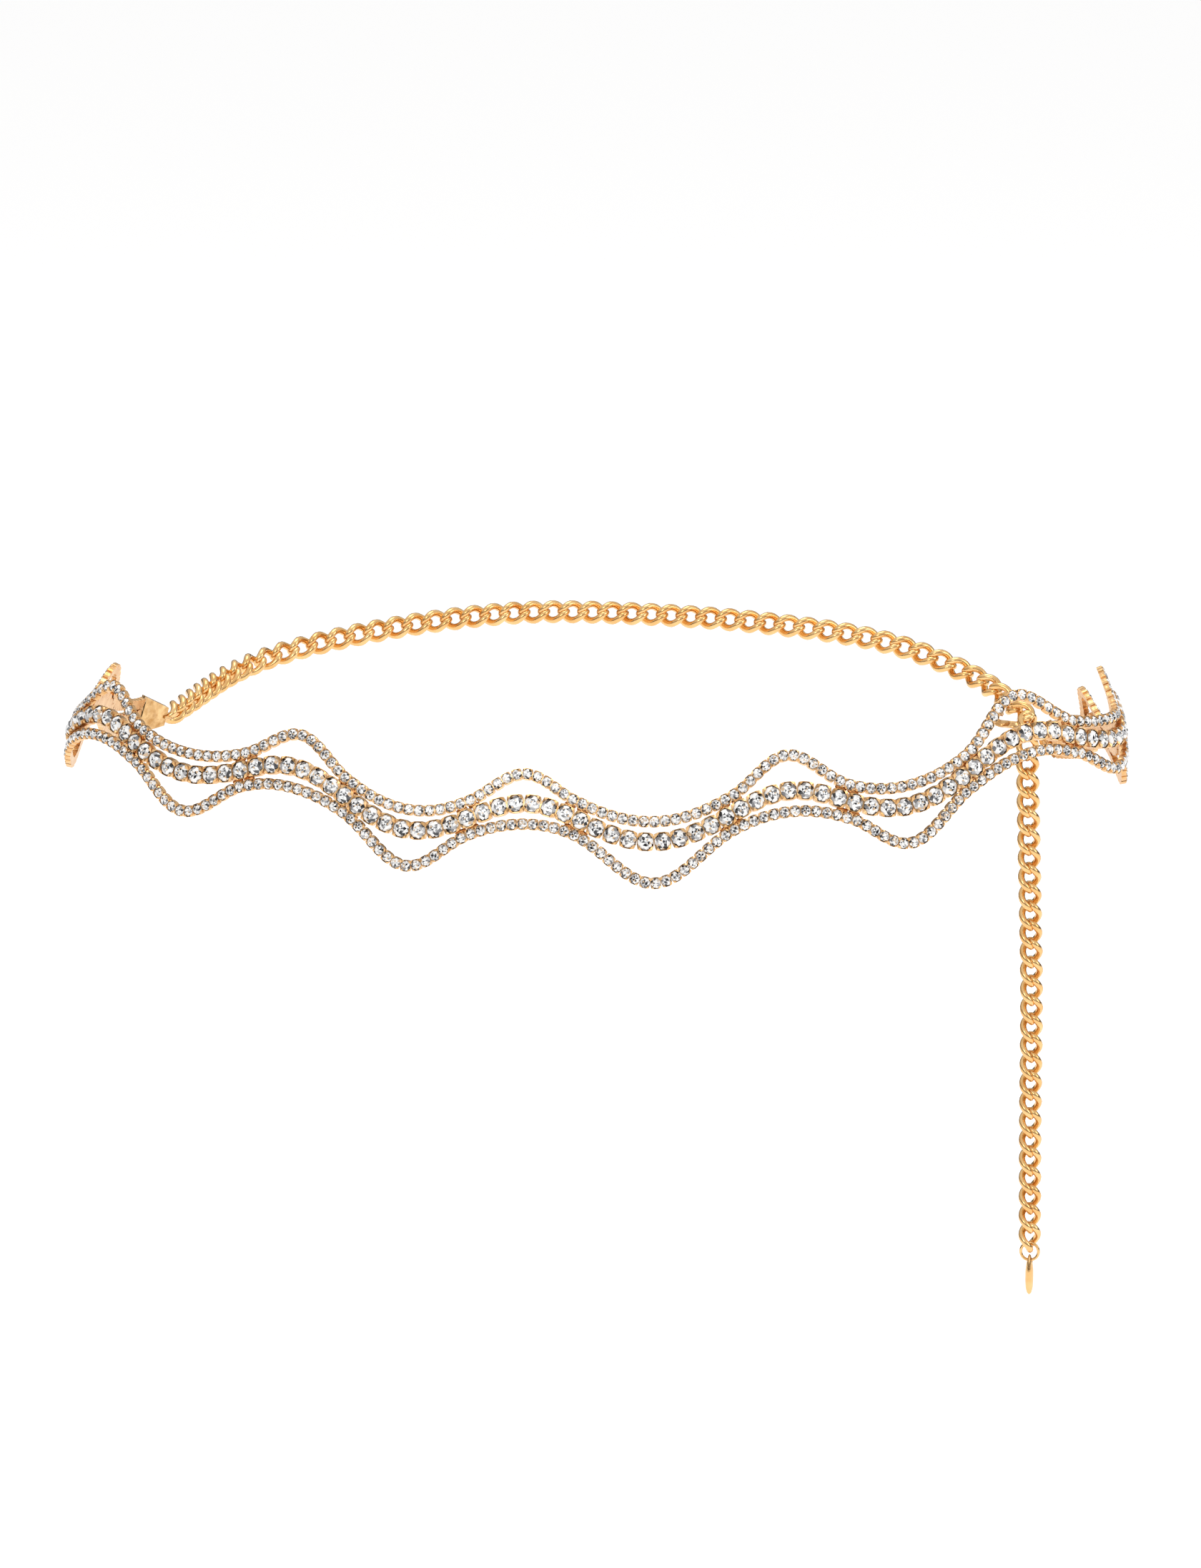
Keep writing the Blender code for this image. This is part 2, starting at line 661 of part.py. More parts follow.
def hanging_drop(collection, material):
    """The slender leaf that hangs in the ring edge on, with the hole that the ring passes through."""
    side = Vector((math.cos(RING_TURN), math.sin(RING_TURN), 0.0))
    wide = Vector((-side.y, side.x, 0.0))
    hole = ring_centre() - Vector((0.0, 0.0, JUMP_RING_DIAMETER / 2 + CLEARANCE - DROP_HOLE / 2))
    top = hole + Vector((0.0, 0.0, DROP_HOLE / 2 + DROP_RIM))
    bm = bmesh.new()
    tip = bm.verts.new(top - Vector((0.0, 0.0, DROP_LENGTH)))
    cap = bm.verts.new(top)
    rings = []
    for down, width, thick in DROP_SHAPE:
        centre = top - Vector((0.0, 0.0, DROP_LENGTH * down))
        ring = []
        for step in range(8):
            turn = 2 * math.pi * step / 8
            across = wide * (DROP_WIDTH / 2 * width * math.cos(turn))
            ring.append(bm.verts.new(centre + across + side * (DROP_THICKNESS / 2 * thick * math.sin(turn))))
        rings.append(ring)
    for first, second in zip(rings, rings[1:]):
        for at in range(8):
            bm.faces.new((first[at], first[(at + 1) % 8], second[(at + 1) % 8], second[at]))
    for at in range(8):
        bm.faces.new((cap, rings[0][(at + 1) % 8], rings[0][at]))
        bm.faces.new((tip, rings[-1][at], rings[-1][(at + 1) % 8]))
    leaf = link_object(collection, "drop", bm, material)
    bore = swept("bore", [[hole - side * DROP_WIDTH, hole + side * DROP_WIDTH]], round_profile("bore_round", DROP_HOLE, 10), False)
    cutter = link_object(HELPERS, "drop_bore", bore, material)
    cutter.hide_render = True
    cutter.display_type = "WIRE"
    cut = leaf.modifiers.new("hole", "BOOLEAN")
    cut.operation = "DIFFERENCE"
    cut.solver = "EXACT"
    cut.object = cutter
    return leaf


clear_scene()
BODY = new_collection("body_chain")
HELPERS = new_collection("helpers", helper=True)
gold = metal("gold", GOLD, 0.22)
pale_gold = metal("pale_gold", PALE_GOLD, 0.35)
crystal = metal("crystal", CRYSTAL, 0.08, metallic=0.2)

stone_strand(BODY, "middle_strand", "middle", LARGE_SETTING, crystal)
fine_strand(BODY, "upper_strand", "upper", "arch", crystal)
fine_strand(BODY, "lower_strand", "lower", "loop", crystal)
left_plate(BODY, pale_gold)
right_plate(BODY, pale_gold)
back_chain(BODY, gold)
chain(BODY, "tail_chain", tail_links(), gold)
jump_ring(BODY, gold)
hanging_drop(BODY, gold)
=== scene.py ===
# %% [markdown]
# # A gold body chain with three wavy strands of set stones
# The solids of this belt are already packed, and this script dresses them. It loads them as a fixed
# frame, makes the fine pieces that were too many for the solids (cut stones, their cups, the curb
# links), lays each on the line that its solid follows, and gives every surface its finish.
# All lengths are metres, +Z is up and the front of the belt looks towards -Y.

import json
import math
import random

import bmesh
import bpy
import numpy as np
from mathutils import Matrix, Vector

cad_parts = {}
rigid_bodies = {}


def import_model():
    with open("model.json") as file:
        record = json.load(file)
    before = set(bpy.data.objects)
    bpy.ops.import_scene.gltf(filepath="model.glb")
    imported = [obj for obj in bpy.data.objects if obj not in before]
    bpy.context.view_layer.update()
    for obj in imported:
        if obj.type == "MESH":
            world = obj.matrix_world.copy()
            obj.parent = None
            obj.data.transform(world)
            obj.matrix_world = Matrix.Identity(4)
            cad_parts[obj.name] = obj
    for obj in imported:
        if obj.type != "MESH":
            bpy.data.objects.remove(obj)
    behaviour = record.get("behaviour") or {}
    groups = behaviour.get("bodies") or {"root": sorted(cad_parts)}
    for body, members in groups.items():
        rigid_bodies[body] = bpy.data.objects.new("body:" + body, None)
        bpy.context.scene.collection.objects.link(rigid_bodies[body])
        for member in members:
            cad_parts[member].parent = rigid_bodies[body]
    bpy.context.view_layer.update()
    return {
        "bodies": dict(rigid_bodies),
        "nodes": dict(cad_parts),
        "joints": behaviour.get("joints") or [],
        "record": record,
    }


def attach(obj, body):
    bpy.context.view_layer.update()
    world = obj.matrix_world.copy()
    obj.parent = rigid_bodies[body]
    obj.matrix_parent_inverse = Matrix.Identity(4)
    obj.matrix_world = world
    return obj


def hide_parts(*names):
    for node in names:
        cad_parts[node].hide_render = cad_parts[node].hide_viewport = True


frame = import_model()

# %% [markdown]
# ## The camera
# A small object looks right only through a long lens from well back: near things don't swell and the
# far side of the ring stays almost as large as the near one. The picture is taken from about twelve
# degrees above, and the belt is turned a few degrees. A catalogue picture shows white as pure white,
# so the plain Standard view is used and no film curve dulls the metal.

# %% Camera
CAMERA_TURN = math.radians(3.6)
CAMERA_ABOVE = math.radians(12)
CAMERA_PLACE = (0.12160, -1.97030, 0.39806)
CAMERA_LENS = 166.2

level = math.cos(CAMERA_ABOVE)
looking = Vector((-math.sin(CAMERA_TURN) * level, math.cos(CAMERA_TURN) * level, -math.sin(CAMERA_ABOVE)))
camera = bpy.data.objects.new("camera", bpy.data.cameras.new("camera"))
camera.location = CAMERA_PLACE
camera.rotation_mode = "QUATERNION"
camera.rotation_quaternion = looking.to_track_quat("-Z", "Y")
camera.data.lens = CAMERA_LENS
camera.data.sensor_width = 36
camera.data.clip_start, camera.data.clip_end = 0.05, 60
bpy.context.scene.collection.objects.link(camera)
bpy.context.scene.camera = camera
bpy.context.scene.view_settings.view_transform = "Standard"
print("camera at", [round(value, 3) for value in camera.location])

# %% [markdown]
# ## The line of the belt
# Seen from above, a worn belt follows the waist: broad, flatter at the front than at the back. A
# superellipse does that with two depths and two powers, one for the front half and one for the back.
# A table of its points against the way round lets every later piece ask for "so many millimetres
# from the front middle". The same named values drive the solids.

# %% The waist outline
HALF_WIDTH = 0.1412
FRONT_DEPTH = 0.065
BACK_DEPTH = 0.188
FRONT_ROUNDNESS = 1.9
BACK_ROUNDNESS = 3.0
WIDEST_AT = FRONT_DEPTH - (FRONT_DEPTH + BACK_DEPTH) / 2
OUTLINE_SAMPLES = 7200


def measured(points):
    """The points as an array, and how far each lies from the first along the line."""
    points = np.array(points)
    steps = np.linalg.norm(np.diff(points, axis=0), axis=1)
    return points, np.concatenate([[0.0], np.cumsum(steps)])


def outline_samples():
    points = []
    for turn in np.linspace(-math.pi / 2, 1.5 * math.pi, OUTLINE_SAMPLES):
        side, forth = math.cos(turn), math.sin(turn)
        depth = FRONT_DEPTH if forth < 0 else BACK_DEPTH
        power = FRONT_ROUNDNESS if forth < 0 else BACK_ROUNDNESS
        reach = (abs(side / HALF_WIDTH) ** power + abs(forth / depth) ** power) ** (-1 / power)
        points.append((reach * side, WIDEST_AT + reach * forth))
    return measured(points)


OUTLINE, WAY_ROUND = outline_samples()
GIRTH = WAY_ROUND[-1]


def on_outline(way):
    """The point this far round from the front middle, and the level direction out of the waist."""
    step = 0.0002
    spots = []
    for place in (way, way + step, way - step):
        spots.append([np.interp(place % GIRTH, WAY_ROUND, OUTLINE[:, axis]) for axis in (0, 1)])
    here, after, before = spots
    along = Vector((after[0] - before[0], after[1] - before[1], 0.0)).normalized()
    return Vector((here[0], here[1], 0.0)), Vector((along.y, -along.x, 0.0))


print("waist outline", round(1000 * GIRTH), "mm round")

# %% [markdown]
# ## The waves
# The pattern is two moves that take turns. In an arch the upper strand jumps up and the other two
# follow low; in a loop the lower strand swoops down and the other two follow high. Between them the
# strands meet and are soldered. A short table says how long and how lively each wave is, as shares
# of the usual one, and how high the worn belt lies where the wave starts.

# %% Waves
LARGE_SETTING = 0.0045
SMALL_SETTING = 0.0028
WAVE_LENGTH = 0.034
MIDDLE_SWING = 0.0050
ARCH_LIFT = 0.0044
LOOP_DROP = 0.0060
HUG_GAP = 0.0012
LIE_HEIGHT = 0.010
FRONT_MIDDLE = 0.0195
CLEARANCE = 0.0003
LEAN_ABOVE = math.radians(24)
LEAN_BELOW = math.radians(9)
WAVES = (
    {"kind": "loop", "length": 1.00, "swing": 0.35, "free": 0.20, "start_height": -0.95},
    {"kind": "arch", "length": 0.91, "swing": 0.90, "free": 1.00, "start_height": -0.30},
    {"kind": "loop", "length": 1.00, "swing": 1.00, "free": 0.62, "start_height": 0.45},
    {"kind": "arch", "length": 0.91, "swing": 0.90, "free": 0.85, "start_height": 0.80},
    {"kind": "loop", "length": 1.04, "swing": 0.90, "free": 1.00, "start_height": 0.80},
    {"kind": "arch", "length": 0.865, "swing": 0.80, "free": 0.95, "start_height": 0.45},
    {"kind": "loop", "length": 0.96, "swing": 1.00, "free": 0.90, "start_height": -0.07},
    {"kind": "arch", "length": 0.845, "swing": 0.82, "free": 0.75, "start_height": -0.47},
    {"kind": "loop", "length": 1.195, "swing": 1.24, "free": 1.12, "start_height": -0.40},
    {"kind": "arch", "length": 0.91, "swing": 0.90, "free": 1.10, "start_height": -0.29},
    {"kind": "loop", "length": 0.99, "swing": 0.90, "free": 0.95, "start_height": -0.04},
    {"kind": "arch", "length": 0.98, "swing": 0.95, "free": 1.30, "start_height": 0.54},
    {"kind": "loop", "length": 1.00, "swing": 0.62, "free": 0.66, "start_height": 1.14},
    {"kind": "arch", "length": 0.91, "swing": 0.90, "free": 0.85, "start_height": 1.00},
    {"kind": "loop", "length": 0.97, "swing": 1.00, "free": 0.90, "start_height": 0.45},
    {"kind": "arch", "length": 0.88, "swing": 0.90, "free": 1.00, "start_height": -0.80},
    {"kind": "loop", "length": 0.94, "swing": 0.15, "free": 0.05, "start_height": -1.30},
)
RIGHT_END_HEIGHT = -2.11
LENGTHS = [row["length"] * WAVE_LENGTH for row in WAVES]
CENTRE_WAVE = len(WAVES) // 2
FIRST_START = FRONT_MIDDLE - sum(LENGTHS[:CENTRE_WAVE]) - LENGTHS[CENTRE_WAVE] / 2
STARTS = [FIRST_START + sum(LENGTHS[:index]) for index in range(len(WAVES) + 1)]
NODE_HEIGHTS = [row["start_height"] * LIE_HEIGHT for row in WAVES] + [RIGHT_END_HEIGHT * LIE_HEIGHT]
STRAND_SPACING = (LARGE_SETTING + SMALL_SETTING) / 2 + CLEARANCE
print(len(WAVES), "waves over", round(1000 * (STARTS[-1] - STARTS[0])), "mm of belt")


# %% Heights along the belt
def smooth_between(places, values, place):
    """A smooth curve through the values, read at one place."""
    index = min(max(int(np.searchsorted(places, place)) - 1, 0), len(places) - 2)
    span = places[index + 1] - places[index]
    share = min(max((place - places[index]) / span, 0.0), 1.0)

    def slope(at):
        low, high = max(at - 1, 0), min(at + 1, len(places) - 1)
        return (values[high] - values[low]) / (places[high] - places[low]) * span

    rise, start, end = values[index + 1] - values[index], slope(index), slope(index + 1)
    square_part, cube_part = 3 * rise - 2 * start - end, start + end - 2 * rise
    return values[index] + share * (start + share * (square_part + share * cube_part))


def belt_height(way):
    return smooth_between(STARTS, NODE_HEIGHTS, way)


def strand_height(strand, way):
    """Height of the upper, middle or lower strand this far round the waist."""
    index = min(max(int(np.searchsorted(STARTS, way, side="right")) - 1, 0), len(WAVES) - 1)
    row, length = WAVES[index], LENGTHS[index]
    share = min(max((way - STARTS[index]) / length, 0.0), 1.0)
    arch = row["kind"] == "arch"
    swing = (1.0 if arch else -1.0) * MIDDLE_SWING * row["swing"]
    middle = belt_height(way) + swing * math.sin(math.pi * share)
    if strand == "middle":
        return middle
    steepness = math.hypot(1.0, math.pi * swing / length * math.cos(math.pi * share))
    free = (1.0 - math.cos(2 * math.pi * share)) / 2
    if strand == "upper":
        return middle + STRAND_SPACING * steepness + (ARCH_LIFT * row["free"] if arch else HUG_GAP) * free
    return middle - STRAND_SPACING * steepness - (HUG_GAP if arch else LOOP_DROP * row["free"]) * free


# %% [markdown]
# ## The leaning sheet
# The belt doesn't stand upright: round a waist its top edge leans in, and the loops below flare out a
# little. So each point is first measured along the outline and up, and then moved in or out by how
# far it lies above or below the belt's line.


# %% Points and directions on the belt
def placed(way, height):
    point, outward = on_outline(way)
    rise, soft = height - belt_height(way), LARGE_SETTING
    inward, flare = math.tan(LEAN_ABOVE), math.tan(LEAN_BELOW)
    offset = -(inward + flare) / 2 * rise - (inward - flare) / 2 * (math.hypot(rise, soft) - soft)
    return point + outward * offset + Vector((0.0, 0.0, height))


def sheet_normal(way, height):
    step = 0.0005
    up = (placed(way, height + step) - placed(way, height - step)).normalized()
    along = (placed(way + step, height) - placed(way - step, height)).normalized()
    return along.cross(up)


def strand_point(strand, way):
    return placed(way, strand_height(strand, way))


STRAND_SAMPLES = 4001


def strand_frames(strand, setting):
    """The middle of each setting of a strand, with the directions along it and out of it."""
    ways = np.linspace(STARTS[0], STARTS[-1], STRAND_SAMPLES)
    lengths = measured([strand_point(strand, way) for way in ways])[1]
    count = round(lengths[-1] / setting)
    frames = []
    for index in range(count):
        way = float(np.interp(lengths[-1] * (index + 0.5) / count, lengths, ways))
        step = 0.0003
        along = (strand_point(strand, way + step) - strand_point(strand, way - step)).normalized()
        out = sheet_normal(way, strand_height(strand, way))
        up = out.cross(along).normalized()
        frames.append((strand_point(strand, way), along, along.cross(up)))
    print(strand, "strand:", count, "settings on", round(1000 * lengths[-1]), "mm")
    return frames


upper_frames = strand_frames("upper", SMALL_SETTING)
middle_frames = strand_frames("middle", LARGE_SETTING)
lower_frames = strand_frames("lower", SMALL_SETTING)

# %% [markdown]
# ## One tree that sets pieces in a row
# Nearly six hundred cups, as many stones and eighty links are the same few shapes again and again.
# Geometry Nodes do that well: a row of bare points carries two directions, "along" and "out", and the
# tree turns one model piece to them at each point. Each copy may be turned a little about its own
# axis and gets a number of its own, so that no two stones glint alike or show the same painted
# reflections. Realize Instances makes the copies real.


# %% The tree
def setting_tree():
    tree = bpy.data.node_groups.new("set pieces in a row", "GeometryNodeTree")
    sockets = tree.interface
    sockets.new_socket("Points", in_out="INPUT", socket_type="NodeSocketGeometry")
    sockets.new_socket("Model piece", in_out="INPUT", socket_type="NodeSocketObject")
    sockets.new_socket("Loose turn", in_out="INPUT", socket_type="NodeSocketFloat")
    sockets.new_socket("Seed", in_out="INPUT", socket_type="NodeSocketInt")
    sockets.new_socket("Finish", in_out="INPUT", socket_type="NodeSocketMaterial")
    sockets.new_socket("Row", in_out="OUTPUT", socket_type="NodeSocketGeometry")
    nodes, links = tree.nodes, tree.links
    given, result = nodes.new("NodeGroupInput"), nodes.new("NodeGroupOutput")
    directions = {}
    for name in ("along", "out"):
        directions[name] = nodes.new("GeometryNodeInputNamedAttribute")
        directions[name].data_type = "FLOAT_VECTOR"
        directions[name].inputs["Name"].default_value = name
    face_out = nodes.new("FunctionNodeAlignRotationToVector")
    face_out.axis = "Z"
    face_along = nodes.new("FunctionNodeAlignRotationToVector")
    face_along.axis, face_along.pivot_axis = "X", "Z"
    links.new(directions["out"].outputs["Attribute"], face_out.inputs["Vector"])
    links.new(face_out.outputs["Rotation"], face_along.inputs["Rotation"])
    links.new(directions["along"].outputs["Attribute"], face_along.inputs["Vector"])
    spots = nodes.new("GeometryNodeMeshToPoints")
    links.new(given.outputs["Points"], spots.inputs["Mesh"])
    piece = nodes.new("GeometryNodeObjectInfo")
    piece.inputs["As Instance"].default_value = True
    links.new(given.outputs["Model piece"], piece.inputs["Object"])
    copies = nodes.new("GeometryNodeInstanceOnPoints")
    links.new(spots.outputs["Points"], copies.inputs["Points"])
    links.new(piece.outputs["Geometry"], copies.inputs["Instance"])
    links.new(face_along.outputs["Rotation"], copies.inputs["Rotation"])
    chance = nodes.new("FunctionNodeRandomValue")
    chance.data_type = "FLOAT"
    links.new(given.outputs["Seed"], chance.inputs["Seed"])
    centred = nodes.new("ShaderNodeMath")
    centred.operation = "SUBTRACT"
    centred.inputs[1].default_value = 0.5
    links.new(chance.outputs[1], centred.inputs[0])
    spread = nodes.new("ShaderNodeMath")
    spread.operation = "MULTIPLY"
    links.new(centred.outputs[0], spread.inputs[0])
    links.new(given.outputs["Loose turn"], spread.inputs[1])
    about_axis = nodes.new("ShaderNodeCombineXYZ")
    links.new(spread.outputs[0], about_axis.inputs["Z"])
    turned = nodes.new("GeometryNodeRotateInstances")
    links.new(copies.outputs["Instances"], turned.inputs["Instances"])
    links.new(about_axis.outputs["Vector"], turned.inputs["Rotation"])
    numbered = nodes.new("GeometryNodeStoreNamedAttribute")
    numbered.data_type, numbered.domain = "FLOAT", "INSTANCE"
    numbered.inputs["Name"].default_value = "own number"
    links.new(turned.outputs["Instances"], numbered.inputs["Geometry"])
    links.new(chance.outputs[1], numbered.inputs["Value"])
    real = nodes.new("GeometryNodeRealizeInstances")
    links.new(numbered.outputs["Geometry"], real.inputs["Geometry"])
    finish = nodes.new("GeometryNodeSetMaterial")
    links.new(real.outputs["Geometry"], finish.inputs["Geometry"])
    links.new(given.outputs["Finish"], finish.inputs["Material"])
    links.new(finish.outputs["Geometry"], result.inputs["Row"])
    return tree


SETTING_TREE = setting_tree()
print("tree with", len(SETTING_TREE.nodes), "nodes")


# %% Use the tree, then keep the result as a plain mesh
def row_of(name, frames, model, finish, loose_turn=0.0, seed=1):
    """The model piece at each frame (middle, along, out), as one plain mesh object."""
    points = bpy.data.meshes.new(name + " points")
    points.from_pydata([tuple(frame[0]) for frame in frames], [], [])
    for attribute, column in (("along", 1), ("out", 2)):
        values = points.attributes.new(attribute, "FLOAT_VECTOR", "POINT")
        values.data.foreach_set("vector", [part for frame in frames for part in frame[column]])
    carrier = bpy.data.objects.new(name + " carrier", points)
    bpy.context.scene.collection.objects.link(carrier)
    bpy.context.scene.collection.objects.link(model)
    modifier = carrier.modifiers.new("row", "NODES")
    modifier.node_group = SETTING_TREE
    given = {"Model piece": model, "Loose turn": loose_turn, "Seed": seed, "Finish": finish}
    for socket in SETTING_TREE.interface.items_tree:
        if socket.name in given:
            modifier[socket.identifier] = given[socket.name]
    bpy.context.view_layer.update()
    evaluated = carrier.evaluated_get(bpy.context.evaluated_depsgraph_get())
    mesh = bpy.data.meshes.new_from_object(evaluated)
    mesh.name = name
    bpy.data.objects.remove(carrier, do_unlink=True)
    bpy.context.scene.collection.objects.unlink(model)
    made = bpy.data.objects.new(name, mesh)
    bpy.context.scene.collection.objects.link(made)
    print(name, "has", sum(len(face.vertices) - 2 for face in mesh.polygons), "triangles")
    return made


def model_piece(name, bm, smooth=False):
    """A finished bmesh as a loose object, to be repeated by the tree."""
    bmesh.ops.remove_doubles(bm, verts=bm.verts, dist=1e-7)
    bmesh.ops.recalc_face_normals(bm, faces=bm.faces)
    mesh = bpy.data.meshes.new(name)
    bm.to_mesh(mesh)
    bm.free()
    if smooth:
        mesh.shade_smooth()
    else:
        mesh.shade_flat()
    return bpy.data.objects.new(name, mesh)


def join_rings(bm, rings, closed=False):
    """Four-cornered faces from each ring of corners to the next, and on to the first again if closed."""
    for first, second in zip(rings, rings[1:] + rings[:1] if closed else rings[1:]):
        for at in range(len(first)):
            after = (at + 1) % len(first)
            bm.faces.new((first[at], first[after], second[after], second[at]))


def fill_ramp(ramp, tones):
    """Gives a colour ramp these (position, colour) stops, which are listed from low to high."""
    for element, (position, colour) in zip(ramp.elements, (tones[0], tones[-1])):
        element.position, element.color = position, (*colour, 1.0)
    for position, colour in tones[1:-1]:
        ramp.elements.new(position).color = (*colour, 1.0)


# %% [markdown]
# ## Shared surface effects
# Plated metal is never quite even: its colour drifts from lemon to peach, its polish is clouded by
# handling, and hammering or casting leaves low dents. One shader group makes those three things from
# noise, and each gold takes its own share of them. The group gives out only a colour mask, a
# roughness and a height; the shader itself stays in each material.


# %% The plated metal group
PATCH_EDGES = (0.3, 0.7)
SMEAR_SIZE = 700.0


def plated_metal_group():
    group = bpy.data.node_groups.new("plated metal wear", "ShaderNodeTree")
    sockets = group.interface
    for name, value in (("Patch size", 300.0), ("Polish", 0.2), ("Clouding", 0.1), ("Dent size", 900.0)):
        sockets.new_socket(name, in_out="INPUT", socket_type="NodeSocketFloat").default_value = value
    sockets.new_socket("Place", in_out="INPUT", socket_type="NodeSocketVector")
    for name in ("Drift", "Roughness", "Height"):
        sockets.new_socket(name, in_out="OUTPUT", socket_type="NodeSocketFloat")
    nodes, links = group.nodes, group.links
    given, result = nodes.new("NodeGroupInput"), nodes.new("NodeGroupOutput")
    patches = nodes.new("ShaderNodeTexNoise")
    patches.inputs["Detail"].default_value = 3.0
    links.new(given.outputs["Place"], patches.inputs["Vector"])
    links.new(given.outputs["Patch size"], patches.inputs["Scale"])
    sharper = nodes.new("ShaderNodeMapRange")
    sharper.inputs["From Min"].default_value, sharper.inputs["From Max"].default_value = PATCH_EDGES
    links.new(patches.outputs["Fac"], sharper.inputs["Value"])
    links.new(sharper.outputs["Result"], result.inputs["Drift"])
    smears = nodes.new("ShaderNodeTexNoise")
    smears.inputs["Detail"].default_value = 5.0
    smears.inputs["Scale"].default_value = SMEAR_SIZE
    links.new(given.outputs["Place"], smears.inputs["Vector"])
    clouded = nodes.new("ShaderNodeMath")
    clouded.operation = "MULTIPLY_ADD"
    links.new(smears.outputs["Fac"], clouded.inputs[0])
    links.new(given.outputs["Clouding"], clouded.inputs[1])
    links.new(given.outputs["Polish"], clouded.inputs[2])
    links.new(clouded.outputs[0], result.inputs["Roughness"])
    dents = nodes.new("ShaderNodeTexVoronoi")
    dents.feature = "SMOOTH_F1"
    links.new(given.outputs["Place"], dents.inputs["Vector"])
    links.new(given.outputs["Dent size"], dents.inputs["Scale"])
    links.new(dents.outputs["Distance"], result.inputs["Height"])
    return group


PLATED_METAL = plated_metal_group()


# %% [markdown]
# ## The golds
# Four golds show in the belt. The cups are a pale peach gold, a little matt, with the marks of the
# press. The end plates are beaten, so they dip deeper, and their colour drifts further towards brown.
# The chain is a yellower gold, drawn and tumbled until it shines. The solder beads where strands touch
# are given a darker orange gold, which is painted shade between the stones. Metals take their colour
# from Base Color alone.


# %% Gold materials
def gold(name, light, deep, wear, dent_depth):
    """A plated gold that drifts between two colours. wear: the named values of the shared group."""
    made = bpy.data.materials.new(name)
    made.use_nodes = True
    nodes, links = made.node_tree.nodes, made.node_tree.links
    shader = nodes["Principled BSDF"]
    shader.inputs["Metallic"].default_value = 1.0
    place = nodes.new("ShaderNodeTexCoord")
    surface = nodes.new("ShaderNodeGroup")
    surface.node_tree = PLATED_METAL
    for socket, value in wear.items():
        surface.inputs[socket].default_value = value
    links.new(place.outputs["Object"], surface.inputs["Place"])
    tint = nodes.new("ShaderNodeMix")
    tint.data_type = "RGBA"
    tint.inputs["A"].default_value = (*light, 1.0)
    tint.inputs["B"].default_value = (*deep, 1.0)
    links.new(surface.outputs["Drift"], tint.inputs["Factor"])
    links.new(tint.outputs["Result"], shader.inputs["Base Color"])
    links.new(surface.outputs["Roughness"], shader.inputs["Roughness"])
    relief = nodes.new("ShaderNodeBump")
    relief.inputs["Strength"].default_value = 0.6
    relief.inputs["Distance"].default_value = dent_depth
    links.new(surface.outputs["Height"], relief.inputs["Height"])
    links.new(relief.outputs["Normal"], shader.inputs["Normal"])
    return made


cup_gold = gold(
    "pressed cup gold", light=(0.86, 0.57, 0.29), deep=(0.72, 0.40, 0.15), dent_depth=0.00010,
    wear={"Patch size": 260.0, "Polish": 0.22, "Clouding": 0.16, "Dent size": 1500.0},
)
chain_gold = gold(
    "tumbled chain gold", light=(0.90, 0.60, 0.28), deep=(0.78, 0.44, 0.16), dent_depth=0.000005,
    wear={"Patch size": 180.0, "Polish": 0.21, "Clouding": 0.06, "Dent size": 400.0},
)
plate_gold = gold(
    "hammered plate gold", light=(0.88, 0.60, 0.30), deep=(0.50, 0.26, 0.09), dent_depth=0.00110,
    wear={"Patch size": 430.0, "Polish": 0.16, "Clouding": 0.16, "Dent size": 520.0},
)
# painted shade: the solder's darker orange gold stands for the shade between the stones
solder_painted_shade_gold = gold(
    "solder gold with painted shade", light=(0.74, 0.38, 0.16), deep=(0.48, 0.20, 0.06), dent_depth=0.00020,
    wear={"Patch size": 500.0, "Polish": 0.24, "Clouding": 0.20, "Dent size": 1600.0},
)
print("golds:", [each.name for each in (cup_gold, chain_gold, plate_gold, solder_painted_shade_gold)])

# %% [markdown]
# ## Cut crystal
# A foiled stone sends light back in patches: some facets are white, some grey, a few nearly black, and
# the pattern changes with every stone. Real glass with foil behind it would need many light bounces,
# so these reflections are painted instead: each facet carries a painted reflection value, each stone adds
# its own number, and a stepped ramp turns the sum into painted white, grey and dark reflections, and a
# few warm ones that are painted reflections of the gold. A clear coat puts the sharp glints on top.


# %% Crystal material
OWN_NUMBER_SPREAD = 7.31
# painted reflections: the white, grey and near-black stops are painted facet reflections, and the warm last
# stop is a painted reflection of the gold
PAINTED_REFLECTION_TONES = (
    (0.00, (0.010, 0.010, 0.012)),
    (0.08, (0.07, 0.07, 0.075)),
    (0.17, (0.21, 0.21, 0.22)),
    (0.28, (0.44, 0.44, 0.45)),
    (0.40, (0.68, 0.68, 0.68)),
    (0.52, (0.99, 0.99, 0.98)),
    (0.93, (0.72, 0.52, 0.33)),
)


